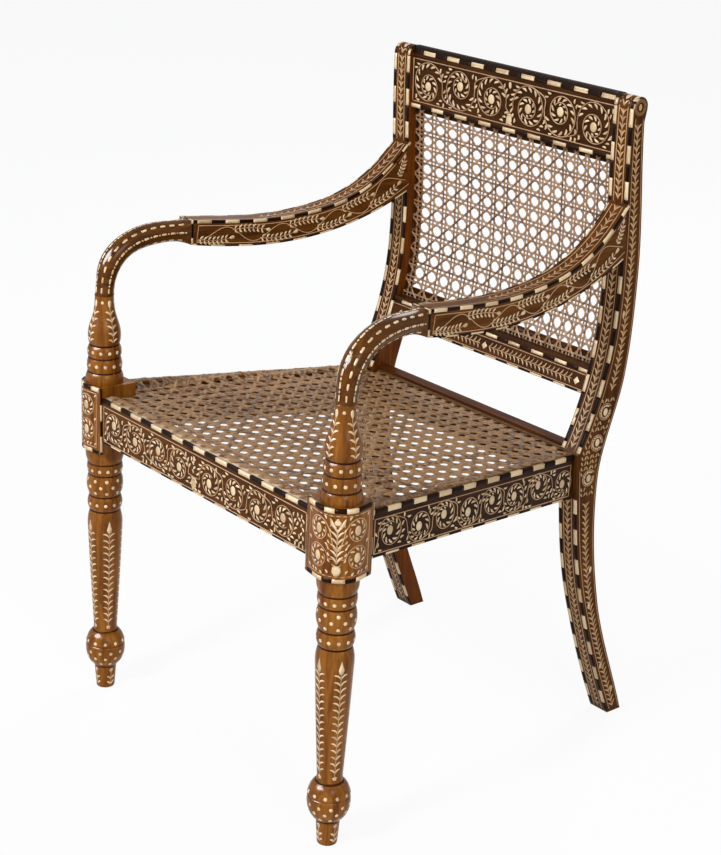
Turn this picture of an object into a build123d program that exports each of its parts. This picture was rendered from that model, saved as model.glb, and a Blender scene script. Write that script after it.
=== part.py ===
"""Open armchair with caned seat and back, in inlaid hardwood.

Millimetres, +Z up. +X is the sitter's left and the chair faces -Y. While it is being built, the chair
stands with the front legs' axes at Y = 0 and the floor at Z = 0; write() moves the origin to the middle
of its footprint.
"""

import math
import os

from build123d import *

# ------------------------------------------------ front legs: block and turned leg in one piece
LEG_AXIS_X = 256.4  # middle plane to a front leg's axis
BLOCK_TOP = 467.0
BLOCK_HEIGHT = 94.6
BLOCK_CORNER_R = 31.4  # the block's outer corner is round about the leg's axis
BLOCK_TO_INNER_FACE = 31.0  # from the axis
BLOCK_TO_REAR_FACE = 30.0
BLOCK_INNER_LIP = 26.6  # from the axis to the front face, at its inner arris
BLOCK_REAR_LIP = 24.8  # from the axis to the side face, at its rear arris

FOOT_TIP_R = 11.6
FOOT_BOTTOM_R = 13.2
FOOT_ROUNDING = 3.0
FOOT_TOP_R = 15.6
BALL_BOTTOM = 35.0
BALL_R = 27.6
# Pulls of the curve up to the waist: (from BALL_R, above BALL_BOTTOM)
BALL_BELLY_PULLS = [(-4.0, 6.0), (1.2, 17.0)]
BALL_WAIST = 70.0  # height of the fine groove round the ball
BALL_WAIST_DEPTH = 1.6
BALL_WAIST_REACH = 4.0  # from the groove's bottom to its upper or lower edge
BALL_TOP = 90.5
# Pulls of the curve over the ball: (from the shaft's flare, above BALL_TOP)
BALL_CROWN_PULLS = [(7.0, -5.0), (3.8, -3.0)]
SHAFT_FLARE = 0.7  # the shaft's spread where it stands on the ball
SHAFT_BOTTOM_R = 16.3
SHAFT_BOTTOM = 98.0
SHAFT_MIDDLE_R = 20.6
SHAFT_SHOULDER_R = 24.3
SHAFT_SHOULDER_DROP = 116.4  # below the block
SHAFT_SHOULDER_PULL = 0.4
# (drop below the block, radius), from the shaft up
LEG_GROOVES = [(94.4, 21.1), (72.4, 21.4), (40.4, 22.6), (23.4, 23.7)]
LEG_BEAD_RISE = [3.0, 3.2, 1.6]  # how far the mouldings between those grooves stand out
LEG_NECK_R = 26.5
LEG_NECK_RISE = 14.7  # from the last groove to where the neck runs straight
LEG_NECK_PULLS = [(0.6, 5.0), (2.8, 6.0)]  # of the curve between them: (from the groove's radius, above it)

# ------------------------------------------------ turned arm supports, doweled into the blocks
SUPPORT_HEIGHT = 121.7
SUPPORT_TOP_R = 12.9
SUPPORT_BASE_R = 25.4
SUPPORT_BASE_BULGE = 0.3
# (height above the block, radius), from the base ring up
SUPPORT_GROOVES = [(15.5, 22.7), (35.5, 21.7), (53.5, 19.9)]
SUPPORT_BEAD_RISE = [1.8, 2.6]
VASE_R = 22.4
VASE_WIDEST = 66.0  # height above the block
VASE_PULLS = [4.0, 19.0, 33.0]  # up from the last groove, up from the widest place, down from the top
SPIGOT_R = 8.0
SPIGOT_LENGTH = 24.0
SPIGOT_GAP = 0.1

# ------------------------------------------------ rear posts: sabre leg and back stile in one piece
CREST_TOP = 898.0
SCROLL_R = 13.5  # rolled-over top of a post
SCROLL_DROP = 14.0  # the roll's middle below the crest rail's top
SCROLL_RUN = 22.0  # from the roll's middle down to where the post's rear profile takes over
POST_AXIS_X = 215.1
POST_WIDTH = 32.8
# Knots of the side profile: (height, distance behind the front legs' axes, its change with height)
POST_LEG_FRONT = [(0.0, 540.0, -0.46), (200.0, 463.5, -0.31), (400.0, 430.5, -0.10)]
POST_BACK_FRONT = [(421.0, 431.0, 0.50), (600.0, 483.0, 0.06), (CREST_TOP - SCROLL_DROP, 476.5, 0.0)]
POST_REAR = [
    (0.0, 566.8, -0.35),
    (190.0, 496.4, -0.25),
    (380.0, 473.5, 0.03),
    (520.0, 508.4, 0.16),
    (660.0, 516.2, 0.0),
    (CREST_TOP - SCROLL_DROP - SCROLL_RUN, 500.0, -0.05),
]

# ------------------------------------------------ seat frame
FRONT_RAIL_SETBACK = 2.7  # behind the blocks' inner front arris
FRONT_RAIL_DROP = 13.2  # below the blocks' top
FRONT_RAIL_HEIGHT = 63.4
RAIL_THICKNESS = 30.0
SIDE_RAIL_FRONT_DROP = 12.6  # below the block's top, where the rail meets it
SIDE_RAIL_FRONT_SETBACK = 1.0  # inside the block's rear arris
SIDE_RAIL_REAR_TOP = 420.4  # where it meets the post
SIDE_RAIL_REAR_SETBACK = 6.0  # inside the post's outer face
SIDE_RAIL_HEIGHT = 62.2
SIDE_RAIL_THICKNESS = 28.0
REAR_RAIL_TOP = 422.6
REAR_RAIL_HEIGHT = 50.0
REAR_RAIL_BACK = 463.6  # rear face, behind the front legs' axes

# ------------------------------------------------ cane panels, let into rebates
SEAT_CANE_DROP_FRONT = 3.5  # cane's face below the front rail's top
SEAT_CANE_DROP_REAR = 4.6  # and below the rear rail's top
SEAT_REBATE = 12.0
BACK_REBATE = 8.0
BACK_CANE_SETBACK = 15.0  # behind the posts' front face
CANE_THICKNESS = 1.6
CANE_GAP = 0.3
SEAT_BINDING_WIDTH = 6.0
SEAT_BINDING_THICKNESS = 1.8
BINDING_CLEARANCE = 2.0  # between the ends of two seat strips
BACK_BINDING_WIDTH = 7.0
BACK_BINDING_THICKNESS = 3.0
SEAT_OPENINGS = (12, 10)  # columns and rows of the coarse grid that stands for the weave
BACK_OPENINGS = (12, 9)
OPENING_SHARE = 0.6  # side of an opening, as a share of its cell in the grid
OPENING_MARGIN = 3.0  # from the grid's edge to the wood round it

# ------------------------------------------------ back rails
CREST_HEIGHT = 87.6
CREST_SETBACK = 5.6  # behind the posts' front face
CREST_THICKNESS = 18.0
LOWER_RAIL_TOP = 529.0
LOWER_RAIL_HEIGHT = 34.6
LOWER_RAIL_SETBACK = 0.6
LOWER_RAIL_THICKNESS = 22.0

# ------------------------------------------------ arms, elbows and collars
COLLAR_Y = 122.0  # plane where elbow and arm meet
COLLAR_X = 242.7  # middle of the arm there
COLLAR_WIDTH = 3.2  # bone and ebony band round the arm's front end
COLLAR_DEPTH = 2.2
ARM_FRONT_WIDTH = 29.0
# Knots of the arm's side profile: (distance behind the front legs' axes, height, slope)
ARM_TOP = [(122.0, 681.6, -0.09), (300.0, 672.2, 0.09), (483.0, 756.3, 1.15)]
ARM_BOTTOM = [(122.0, 647.3, -0.17), (300.0, 634.9, 0.07), (485.0, 685.6, 0.51)]
ELBOW_RISE = 58.6  # reach of the elbow's curve, straight up out of the support
ELBOW_PEAK = (36.4, 85.9)  # the curve's last pull: distance back, and height above the support
# Thickness of the elbow along its curve: (share of the way, width, height)
ELBOW_GIRTH = [
    (0.0, 26.6, 26.6),
    (0.2, 28.6, 28.6),
    (0.4, 30.0, 30.0),
    (0.6, 30.2, 30.2),
    (0.78, 29.4, 29.4),
    (0.9, 28.4, 29.4),
]
ELBOW_FLAT = 0.1  # least straight run between the corner arcs of a round section
ELBOW_END_ROUNDING = 3.0

# ------------------------------------------------ joinery
TENON_THICKNESS = 12.0
TENON_GAP = 0.15
TENON_SHOULDER = 9.0  # height of wood above and below a tenon
NARROW_SHOULDER = 4.0  # the same in the lower back rail
BACK_TENON_THICKNESS = 8.0  # crest rail and lower back rail
FRONT_RAIL_TENON = 20.0  # lengths
SIDE_RAIL_FRONT_TENON = 18.0
SIDE_RAIL_REAR_TENON = 20.0
REAR_RAIL_TENON = 10.0
BACK_RAIL_TENON = 18.0
ARM_TENON = 16.0
ARM_TENON_HEIGHT = 34.0
POST_TENON_INSET = 3.0  # the side rail's tenon in the post, inside the rail's outer face
PEG_R = 3.0
PEG_GAP = 0.05
PLUG_SINK = 0.5  # pegs and plugs end this far inside the surface
DOWEL_R = 5.0
DOWEL_LENGTH = 36.0
DOWEL_GAP = 0.1
SCREW_SHANK_R = 2.3
SCREW_HEAD_R = 4.6
SCREW_HEAD_HEIGHT = 2.4
SCREW_LENGTH = 45.0
SCREW_SINK = 6.0  # depth of the plugged counterbore
SCREW_GAP = 0.1

BLIND_GAPS = 10  # a blind round hole is this many gaps deeper than what goes into it
OVERLAP = 1.0  # how far two shapes run into each other before they are fused
SCRIBE_OVERLAP = 5.0  # the same at the post's leaning face

SIDES = {"left": 1, "right": -1}  # the sitter's left is +X
FAR = 1000.0  # reaches past the whole chair

# ------------------------------------------------ places worked out from the sizes
block_bottom = BLOCK_TOP - BLOCK_HEIGHT
block_inner_x = LEG_AXIS_X - BLOCK_TO_INNER_FACE
support_top = BLOCK_TOP + SUPPORT_HEIGHT
front_rail_top = BLOCK_TOP - FRONT_RAIL_DROP
front_rail_front_y = -BLOCK_INNER_LIP + FRONT_RAIL_SETBACK
front_rail_rear_y = front_rail_front_y + RAIL_THICKNESS
post_inner_x = POST_AXIS_X - POST_WIDTH / 2
post_outer_x = POST_AXIS_X + POST_WIDTH / 2
rear_rail_front_y = REAR_RAIL_BACK - RAIL_THICKNESS
side_rail_front_x = LEG_AXIS_X + BLOCK_REAR_LIP - SIDE_RAIL_FRONT_SETBACK
side_rail_rear_x = post_outer_x - SIDE_RAIL_REAR_SETBACK
side_rail_front_top = BLOCK_TOP - SIDE_RAIL_FRONT_DROP
crest_bottom = CREST_TOP - CREST_HEIGHT
lower_rail_bottom = LOWER_RAIL_TOP - LOWER_RAIL_HEIGHT
knee_y = POST_BACK_FRONT[0][1]
scroll_z = POST_BACK_FRONT[-1][0]
scroll_y = POST_BACK_FRONT[-1][1] + SCROLL_R
footprint_middle_y = (POST_REAR[0][1] - BLOCK_CORNER_R) / 2


# ------------------------------------------------ curves and solids in the YZ plane
def hermite(knots, at):
    """Value at `at` of the smooth curve through (place, value, slope) knots."""
    spans = list(zip(knots, knots[1:]))
    (a, value_a, slope_a), (b, value_b, slope_b) = next((s for s in spans if at <= s[1][0]), spans[-1])
    span = b - a
    t = (at - a) / span
    start = (2 * t**3 - 3 * t**2 + 1) * value_a + (t**3 - 2 * t**2 + t) * span * slope_a
    return start + (3 * t**2 - 2 * t**3) * value_b + (t**3 - t**2) * span * slope_b


def chain(knots, point):
    """Bezier edges through the knots; point(place, value) places them in space."""
    edges = []
    for (a, value_a, slope_a), (b, value_b, slope_b) in zip(knots, knots[1:]):
        third = (b - a) / 3
        edges.append(
            Bezier(
                point(a, value_a),
                point(a + third, value_a + slope_a * third),
                point(b - third, value_b - slope_b * third),
                point(b, value_b),
            )
        )
    return edges


def upright(z, y):
    """Places a curve that runs up the chair."""
    return Vector(0, y, z)


def lengthwise(y, z):
    """Places a curve that runs from front to rear."""
    return Vector(0, y, z)


def across(edges, x_from, x_to):
    """The closed YZ outline made solid between two X planes."""
    face = make_face(edges)
    return Pos(X=x_from) * extrude(face, amount=x_to - x_from, dir=(1, 0, 0))


def across_polygon(points, x_from, x_to):
    """The same for corners given as (y, z)."""
    corners = [Vector(0, y, z) for y, z in points]
    return across(Polyline(*corners, close=True).edges(), x_from, x_to)


def plan_prism(points, z_from=-FAR, z_to=FAR):
    """An upright prism on corners given as (x, y)."""
    corners = [Vector(x, y, z_from) for x, y in points]
    return extrude(make_face(Polyline(*corners, close=True)), amount=z_to - z_from, dir=(0, 0, 1))


def block(x_from, x_to, y_from, y_to, z_from, z_to):
    """A box between six planes."""
    size = (x_to - x_from, y_to - y_from, z_to - z_from)
    return Pos(x_from, y_from, z_from) * Box(*size, align=(Align.MIN, Align.MIN, Align.MIN))


def rod(radius, start, direction, length):
    """A round bar from start along direction."""
    return extrude(Plane(origin=start, z_dir=direction) * Circle(radius), amount=length)


def turned(outline_edges):
    """A solid turned about the Z axis from an outline in the XZ plane that starts and ends on it."""
    return revolve(make_face(outline_edges), Axis.Z)


def mirrored(shape, side):
    """The left-hand shape, or its mirror image for the right."""
    return shape if SIDES[side] > 0 else mirror(shape, about=Plane.YZ)


# ------------------------------------------------ turned work
def lathe_curve(*points):
    """A Bezier edge through (radius, height) pulls."""
    return Bezier(*[(radius, 0, height) for radius, height in points])


def lathe_lines(*points):
    """Straight edges between (radius, height) corners."""
    return Polyline(*[(radius, 0, height) for radius, height in points]).edges()


def moulding(low, high, rise):
    """A rounded moulding between two grooves given as (height, radius)."""
    middle = ((low[1] + high[1]) / 2 + rise, (low[0] + high[0]) / 2)
    return ThreePointArc((low[1], 0, low[0]), (middle[0], 0, middle[1]), (high[1], 0, high[0]))


def ring_stack(grooves, rises):
    """The mouldings between the grooves, from the bottom up."""
    return [moulding(low, high, rise) for low, high, rise in zip(grooves, grooves[1:], rises)]


def foot_edges():
    """Outline of the foot, from the floor's middle up to the ball."""
    return [
        *lathe_lines((0, 0), (FOOT_TIP_R, 0)),
        lathe_curve((FOOT_TIP_R, 0), (FOOT_BOTTOM_R, 0), (FOOT_BOTTOM_R, FOOT_ROUNDING)),
        *lathe_lines((FOOT_BOTTOM_R, FOOT_ROUNDING), (FOOT_TOP_R, BALL_BOTTOM)),
    ]


def ball_edges():
    """Outline of the ball with the groove at its waist, up to the shaft."""
    waist_r = BALL_R - BALL_WAIST_DEPTH
    upper_r = BALL_R - BALL_WAIST_DEPTH / 4
    low, high = BALL_WAIST - BALL_WAIST_REACH, BALL_WAIST + BALL_WAIST_REACH
    quarter = BALL_WAIST_REACH / 4
    crown_r = SHAFT_BOTTOM_R + SHAFT_FLARE
    belly = [(BALL_R + out, BALL_BOTTOM + up) for out, up in BALL_BELLY_PULLS]
    crown = [(crown_r + out, BALL_TOP + up) for out, up in BALL_CROWN_PULLS]
    return [
        lathe_curve((FOOT_TOP_R, BALL_BOTTOM), *belly, (BALL_R, low)),
        lathe_curve((BALL_R, low), (BALL_R, BALL_WAIST - quarter), (waist_r, BALL_WAIST)),
        lathe_curve((waist_r, BALL_WAIST), (BALL_R, BALL_WAIST + quarter), (upper_r, high)),
        lathe_curve((upper_r, high), *crown, (crown_r, BALL_TOP)),
    ]


def shaft_edges():
    """Outline of the tapered shaft, from the ball to the first groove."""
    shoulder = block_bottom - SHAFT_SHOULDER_DROP
    groove_z, groove_r = block_bottom - LEG_GROOVES[0][0], LEG_GROOVES[0][1]
    return [
        *lathe_lines((SHAFT_BOTTOM_R + SHAFT_FLARE, BALL_TOP), (SHAFT_BOTTOM_R, SHAFT_BOTTOM)),
        ThreePointArc(
            (SHAFT_BOTTOM_R, 0, SHAFT_BOTTOM),
            (SHAFT_MIDDLE_R, 0, (SHAFT_BOTTOM + shoulder) / 2),
            (SHAFT_SHOULDER_R, 0, shoulder),
        ),
        lathe_curve(
            (SHAFT_SHOULDER_R, shoulder),
            (SHAFT_SHOULDER_R + SHAFT_SHOULDER_PULL, (shoulder + groove_z) / 2),
            (groove_r, groove_z),
        ),
    ]


def turned_leg():
    """Foot, ball, tapered shaft, three mouldings and neck, up to the block."""
    grooves = [(block_bottom - drop, radius) for drop, radius in LEG_GROOVES]
    last_z, last_r = grooves[-1]
    pulls = [(last_r + out, last_z + up) for out, up in LEG_NECK_PULLS]
    neck_z = last_z + LEG_NECK_RISE
    top = block_bottom + OVERLAP
    edges = [
        *foot_edges(),
        *ball_edges(),
        *shaft_edges(),
        *ring_stack(grooves, LEG_BEAD_RISE),
        lathe_curve((last_r, last_z), *pulls, (LEG_NECK_R, neck_z)),
        *lathe_lines((LEG_NECK_R, neck_z), (LEG_NECK_R, top), (0, top), (0, 0)),
    ]
    return turned(edges)


def tangent_point(corner_x, corner_y, radius, turn):
    """Where a line from the corner touches the circle about the origin; turn is +1 or -1 for its side."""
    distance = math.hypot(corner_x, corner_y)
    angle = math.atan2(corner_y, corner_x) + turn * math.acos(radius / distance)
    return radius * math.cos(angle), radius * math.sin(angle)


def leg_block():
    """The block about the leg's axis: flat inside and behind, round at its outer corner."""
    inner = (-BLOCK_TO_INNER_FACE, -BLOCK_INNER_LIP)
    rear = (BLOCK_REAR_LIP, BLOCK_TO_REAR_FACE)
    front_touch = tangent_point(*inner, BLOCK_CORNER_R, 1)
    side_touch = tangent_point(*rear, BLOCK_CORNER_R, -1)
    diagonal = BLOCK_CORNER_R / math.sqrt(2)
    edges = [
        Line(inner, front_touch),
        ThreePointArc(front_touch, (diagonal, -diagonal), side_touch),
        Line(side_touch, rear),
        Line(rear, (-BLOCK_TO_INNER_FACE, BLOCK_TO_REAR_FACE)),
        Line((-BLOCK_TO_INNER_FACE, BLOCK_TO_REAR_FACE), inner),
    ]
    return Pos(Z=block_bottom) * extrude(make_face(edges), amount=BLOCK_HEIGHT, dir=(0, 0, 1))


def spigot(gap):
    """The arm support's round tenon, or its hole in the block when a gap is given."""
    length = SPIGOT_LENGTH + OVERLAP + BLIND_GAPS * gap
    return rod(SPIGOT_R + gap, (LEG_AXIS_X, 0, BLOCK_TOP + OVERLAP), (0, 0, -1), length)


def arm_support():
    """Base ring, two dotted rings and a vase-shaped neck, with a spigot below and a dowel hole on top."""
    grooves = [(BLOCK_TOP + height, radius) for height, radius in SUPPORT_GROOVES]
    first_z, first_r = grooves[0]
    last_z, last_r = grooves[-1]
    widest = BLOCK_TOP + VASE_WIDEST
    groove_pull, belly_pull, neck_pull = VASE_PULLS
    edges = [
        *lathe_lines((0, BLOCK_TOP), (SUPPORT_BASE_R, BLOCK_TOP)),
        ThreePointArc(
            (SUPPORT_BASE_R, 0, BLOCK_TOP),
            (SUPPORT_BASE_R + SUPPORT_BASE_BULGE, 0, (BLOCK_TOP + first_z) / 2),
            (first_r, 0, first_z),
        ),
        *ring_stack(grooves, SUPPORT_BEAD_RISE),
        lathe_curve((last_r, last_z), (VASE_R, last_z + groove_pull), (VASE_R, widest)),
        lathe_curve(
            (VASE_R, widest),
            (VASE_R, widest + belly_pull),
            (SUPPORT_TOP_R, support_top - neck_pull),
            (SUPPORT_TOP_R, support_top),
        ),
        *lathe_lines((SUPPORT_TOP_R, support_top), (0, support_top), (0, BLOCK_TOP)),
    ]
    body = Pos(X=LEG_AXIS_X) * turned(edges)
    return body + spigot(0) - elbow_dowel(DOWEL_GAP)


# ------------------------------------------------ elbow, collar and arm
def elbow_path():
    """The swan neck's centre line, upright out of the support and into the arm's front end."""
    slide = (COLLAR_X - LEG_AXIS_X) / COLLAR_Y
    pull_y, pull_z = ELBOW_PEAK
    return Bezier(
        (LEG_AXIS_X, 0, support_top),
        (LEG_AXIS_X, 0, support_top + ELBOW_RISE),
        (LEG_AXIS_X + slide * pull_y, pull_y, support_top + pull_z),
        (COLLAR_X, COLLAR_Y, arm_front_z()),
    )


def arm_front_z():
    """Height of the arm's middle at its front end."""
    return (ARM_TOP[0][1] + ARM_BOTTOM[0][1]) / 2


def arm_front_height():
    """Height of the arm's section at its front end."""
    return ARM_TOP[0][1] - ARM_BOTTOM[0][1]


def elbow_dowel(gap):
    """The dowel between support and elbow, or its holes when a gap is given."""
    length = DOWEL_LENGTH + BLIND_GAPS * gap
    return rod(DOWEL_R + gap, (LEG_AXIS_X, 0, support_top - length / 2), (0, 0, 1), length)


def collar_dowel(gap):
    """The dowel between elbow and arm, or its holes when a gap is given."""
    end = elbow_path() % 1
    length = DOWEL_LENGTH + BLIND_GAPS * gap
    start = Vector(COLLAR_X, COLLAR_Y, arm_front_z()) - end * (length / 2)
    return rod(DOWEL_R + gap, start, end, length)


def arm_elbow():
    """The round swan neck, which squares up where it meets the arm."""
    path = elbow_path()
    sideways = Vector(COLLAR_Y, LEG_AXIS_X - COLLAR_X, 0).normalized()
    sections = []
    for share, width, height in ELBOW_GIRTH:
        plane = Plane(origin=path @ share, x_dir=sideways, z_dir=path % share)
        sections.append(plane * RectangleRounded(width, height, width / 2 - ELBOW_FLAT))
    end_plane = Plane(origin=(COLLAR_X, COLLAR_Y, arm_front_z()), x_dir=(1, 0, 0), z_dir=(0, 1, 0))
    sections.append(end_plane * RectangleRounded(ARM_FRONT_WIDTH, arm_front_height(), ELBOW_END_ROUNDING))
    return loft(sections) - elbow_dowel(DOWEL_GAP) - collar_dowel(DOWEL_GAP)


def arm_section(inset, length):
    """The arm's front end, less an even inset, for a length from the collar's plane."""
    half = ARM_FRONT_WIDTH / 2 - inset
    return block(
        COLLAR_X - half,
        COLLAR_X + half,
        COLLAR_Y,
        COLLAR_Y + length,
        ARM_BOTTOM[0][1] + inset,
        ARM_TOP[0][1] - inset,
    )


def arm_collar():
    """The band let in round the arm's front end."""
    return (arm_outline() & arm_section(0, COLLAR_WIDTH)) - arm_section(COLLAR_DEPTH, COLLAR_WIDTH)


def arm_outline():
    """The arm before it is jointed: a curved side profile between two upright planes."""
    rear = hermite(POST_BACK_FRONT, ARM_TOP[-1][1]) + POST_WIDTH / 2
    top_end = Vector(0, rear, ARM_TOP[-1][1])
    bottom_end = Vector(0, rear, ARM_BOTTOM[-1][1])
    top = chain(ARM_TOP, lengthwise)
    bottom = chain(ARM_BOTTOM, lengthwise)
    edges = [
        *top,
        Line(top[-1] @ 1, top_end),
        Line(top_end, bottom_end),
        Line(bottom_end, bottom[-1] @ 1),
        *bottom,
        Line(bottom[0] @ 0, top[0] @ 0),
    ]
    post_y = hermite(POST_BACK_FRONT, (ARM_TOP[-1][1] + ARM_BOTTOM[-1][1]) / 2)
    half = ARM_FRONT_WIDTH / 2
    # Both side planes run on behind the post's front face, where the arm is then cut to it.
    stretch = (rear - COLLAR_Y) / (post_y - COLLAR_Y)
    outer_slide = (post_outer_x - COLLAR_X - half) * stretch
    inner_slide = (post_inner_x - COLLAR_X + half) * stretch
    plan = [
        (COLLAR_X - half, COLLAR_Y),
        (COLLAR_X + half, COLLAR_Y),
        (COLLAR_X + half + outer_slide, rear),
        (COLLAR_X - half + inner_slide, rear),
    ]
    return across(edges, 0, FAR) & plan_prism(plan, 0, FAR)


def arm_tenon(gap):
    """The arm's stub tenon in the post, or its mortise when a gap is given."""
    middle = arm_joint_z()
    front = hermite(POST_BACK_FRONT, middle)
    return block(
        POST_AXIS_X - TENON_THICKNESS / 2 - gap,
        POST_AXIS_X + TENON_THICKNESS / 2 + gap,
        front - POST_WIDTH / 2,
        front + ARM_TENON + gap,
        middle - ARM_TENON_HEIGHT / 2 - gap,
        middle + ARM_TENON_HEIGHT / 2 + gap,
    )


def arm_joint_z():
    """Height of the middle of the arm's joint with the post."""
    return (ARM_TOP[-1][1] + ARM_BOTTOM[-1][1]) / 2


def arm():
    """The arm, cut to the post's face, with its tenon, dowel hole and the recess for the collar."""
    body = arm_outline() - post_space() + (arm_tenon(0) - arm_front_waste())
    recess = arm_section(-OVERLAP, COLLAR_WIDTH) - arm_section(COLLAR_DEPTH, COLLAR_WIDTH)
    return body - recess - collar_dowel(DOWEL_GAP) - arm_screw_hole()


def arm_front_waste():
    """Everything in front of the post's face, where the tenon's length starts."""
    return across(profile_edges(-FAR), -FAR, FAR)


# ------------------------------------------------ rear posts
def profile_edges(y_far):
    """Closed outline between the posts' upper front profile and the plane y = y_far."""
    front = chain(POST_BACK_FRONT, upright)
    low, high = front[0] @ 0, front[-1] @ 1
    return [
        *front,
        Line(high, (0, y_far, high.Z)),
        Line((0, y_far, high.Z), (0, y_far, low.Z)),
        Line((0, y_far, low.Z), low),
    ]


def post_outline():
    """Closed side profile of a post: sabre leg, back stile and rolled top."""
    leg_front = chain(POST_LEG_FRONT, upright)
    back_front = chain(POST_BACK_FRONT, upright)
    rear = chain(POST_REAR, upright)
    roll_front = back_front[-1] @ 1
    roll_rear = Vector(0, scroll_y + SCROLL_R, scroll_z)
    rear_top = rear[-1] @ 1
    third = (scroll_z - rear_top.Z) / 3
    return [
        *leg_front,
        Line(leg_front[-1] @ 1, back_front[0] @ 0),
        *back_front,
        ThreePointArc(roll_front, (0, scroll_y, scroll_z + SCROLL_R), roll_rear),
        Bezier(
            roll_rear,
            (0, roll_rear.Y, scroll_z - third),
            (0, rear_top.Y, rear_top.Z + third),
            rear_top,
        ),
        *rear,
        Line(rear[0] @ 0, leg_front[0] @ 0),
    ]


def post_space():
    """The posts' side profile across the whole chair, for cutting what butts against them."""
    return across(post_outline(), -FAR, FAR)


def rear_post():
    """The left post with its mortises, cane rebate and peg and screw holes."""
    post = across(post_outline(), post_inner_x, post_outer_x)
    post -= side_rail_rear_tenon(TENON_GAP)
    post -= rear_rail_tenon(TENON_GAP)
    post -= crest_tenon(TENON_GAP)
    post -= lower_rail_tenon(TENON_GAP)
    post -= arm_tenon(TENON_GAP)
    post -= back_rebate()
    post -= arm_screw_hole()
    for peg in seat_pegs(PEG_GAP) + back_pegs(PEG_GAP):
        post -= peg
    return post


# ------------------------------------------------ seat rails
def side_rail_top(y):
    """Height of the side rails' top face."""
    share = (y - BLOCK_TO_REAR_FACE) / (knee_y - BLOCK_TO_REAR_FACE)
    return side_rail_front_top + share * (SIDE_RAIL_REAR_TOP - side_rail_front_top)


def side_rail_outer(y):
    """Distance of the side rail's outer face from the middle plane."""
    share = (y - BLOCK_TO_REAR_FACE) / (knee_y - BLOCK_TO_REAR_FACE)
    return side_rail_front_x + share * (side_rail_rear_x - side_rail_front_x)


def side_rail_inner(y):
    """Distance of the side rail's inner face from the middle plane."""
    return side_rail_outer(y) - SIDE_RAIL_THICKNESS


def tenon_span(bottom, top):
    """Lowest and highest level of a tenon in a rail."""
    return bottom + TENON_SHOULDER, top - TENON_SHOULDER


def front_rail_tenon(gap):
    """The front rail's left tenon in the block."""
    low, high = tenon_span(front_rail_top - FRONT_RAIL_HEIGHT, front_rail_top)
    middle = (front_rail_front_y + front_rail_rear_y) / 2
    half = TENON_THICKNESS / 2 + gap
    x_to = block_inner_x + FRONT_RAIL_TENON + gap
    return block(block_inner_x - OVERLAP, x_to, middle - half, middle + half, low - gap, high + gap)


def side_rail_front_tenon(gap):
    """The side rail's tenon in the block."""
    top = side_rail_top(BLOCK_TO_REAR_FACE)
    low, high = tenon_span(top - SIDE_RAIL_HEIGHT, top)
    middle = side_rail_outer(BLOCK_TO_REAR_FACE) - SIDE_RAIL_THICKNESS / 2
    half = TENON_THICKNESS / 2 + gap
    y_from = BLOCK_TO_REAR_FACE - SIDE_RAIL_FRONT_TENON - gap
    y_to = BLOCK_TO_REAR_FACE + OVERLAP
    return block(middle - half, middle + half, y_from, y_to, low - gap, high + gap)


def side_rail_rear_tenon(gap):
    """The side rail's tenon in the post, outside the rear rail's."""
    top = side_rail_top(knee_y)
    low, high = tenon_span(top - SIDE_RAIL_HEIGHT, top)
    outer = side_rail_outer(knee_y) - POST_TENON_INSET
    y_from, y_to = knee_y - SCRIBE_OVERLAP, knee_y + SIDE_RAIL_REAR_TENON + gap
    return block(outer - TENON_THICKNESS - gap, outer + gap, y_from, y_to, low - gap, high + gap)


def rear_rail_tenon(gap):
    """The rear rail's left tenon in the post."""
    low, high = tenon_span(REAR_RAIL_TOP - REAR_RAIL_HEIGHT, REAR_RAIL_TOP)
    middle = (rear_rail_front_y + REAR_RAIL_BACK) / 2
    half = TENON_THICKNESS / 2 + gap
    x_to = post_inner_x + REAR_RAIL_TENON + gap
    return block(post_inner_x - OVERLAP, x_to, middle - half, middle + half, low - gap, high + gap)


def seat_pegs(gap):
    """Pegs of the left half's four seat joints, driven in from the inside."""
    radius = PEG_R + gap
    front_tenon = front_rail_tenon(0).bounding_box()
    side_tenon = side_rail_front_tenon(0).bounding_box()
    post_tenon = side_rail_rear_tenon(0).bounding_box()
    rear_tenon = rear_rail_tenon(0).bounding_box()
    post_back = hermite(POST_REAR, rear_tenon.center().Z)
    reach = PEG_R * 2
    front_x = block_inner_x + FRONT_RAIL_TENON / 2
    return [
        rod(
            radius,
            (front_x, BLOCK_TO_REAR_FACE, front_tenon.min.Z + reach),
            (0, -1, 0),
            BLOCK_TO_REAR_FACE - front_tenon.min.Y + PEG_R,
        ),
        rod(
            radius,
            (block_inner_x, side_tenon.center().Y, side_tenon.max.Z - reach),
            (1, 0, 0),
            side_tenon.max.X - block_inner_x + PEG_R,
        ),
        rod(
            radius,
            (post_inner_x, post_tenon.center().Y, post_tenon.min.Z + reach),
            (1, 0, 0),
            post_tenon.max.X - post_inner_x + PEG_R,
        ),
        rod(
            radius,
            (post_inner_x + REAR_RAIL_TENON / 2, post_back - PLUG_SINK, rear_tenon.max.Z - reach),
            (0, -1, 0),
            post_back - rear_tenon.min.Y + PEG_R,
        ),
    ]


def front_seat_rail():
    """The rail between the blocks, with tenons, cane rebate and peg holes."""
    low = front_rail_top - FRONT_RAIL_HEIGHT
    rail = block(-block_inner_x, block_inner_x, front_rail_front_y, front_rail_rear_y, low, front_rail_top)
    half = front_rail_tenon(0)
    rail = rail + half + mirrored(half, "right") - seat_rebate()
    return rail - both_sides(seat_pegs(PEG_GAP)[:1])


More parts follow.
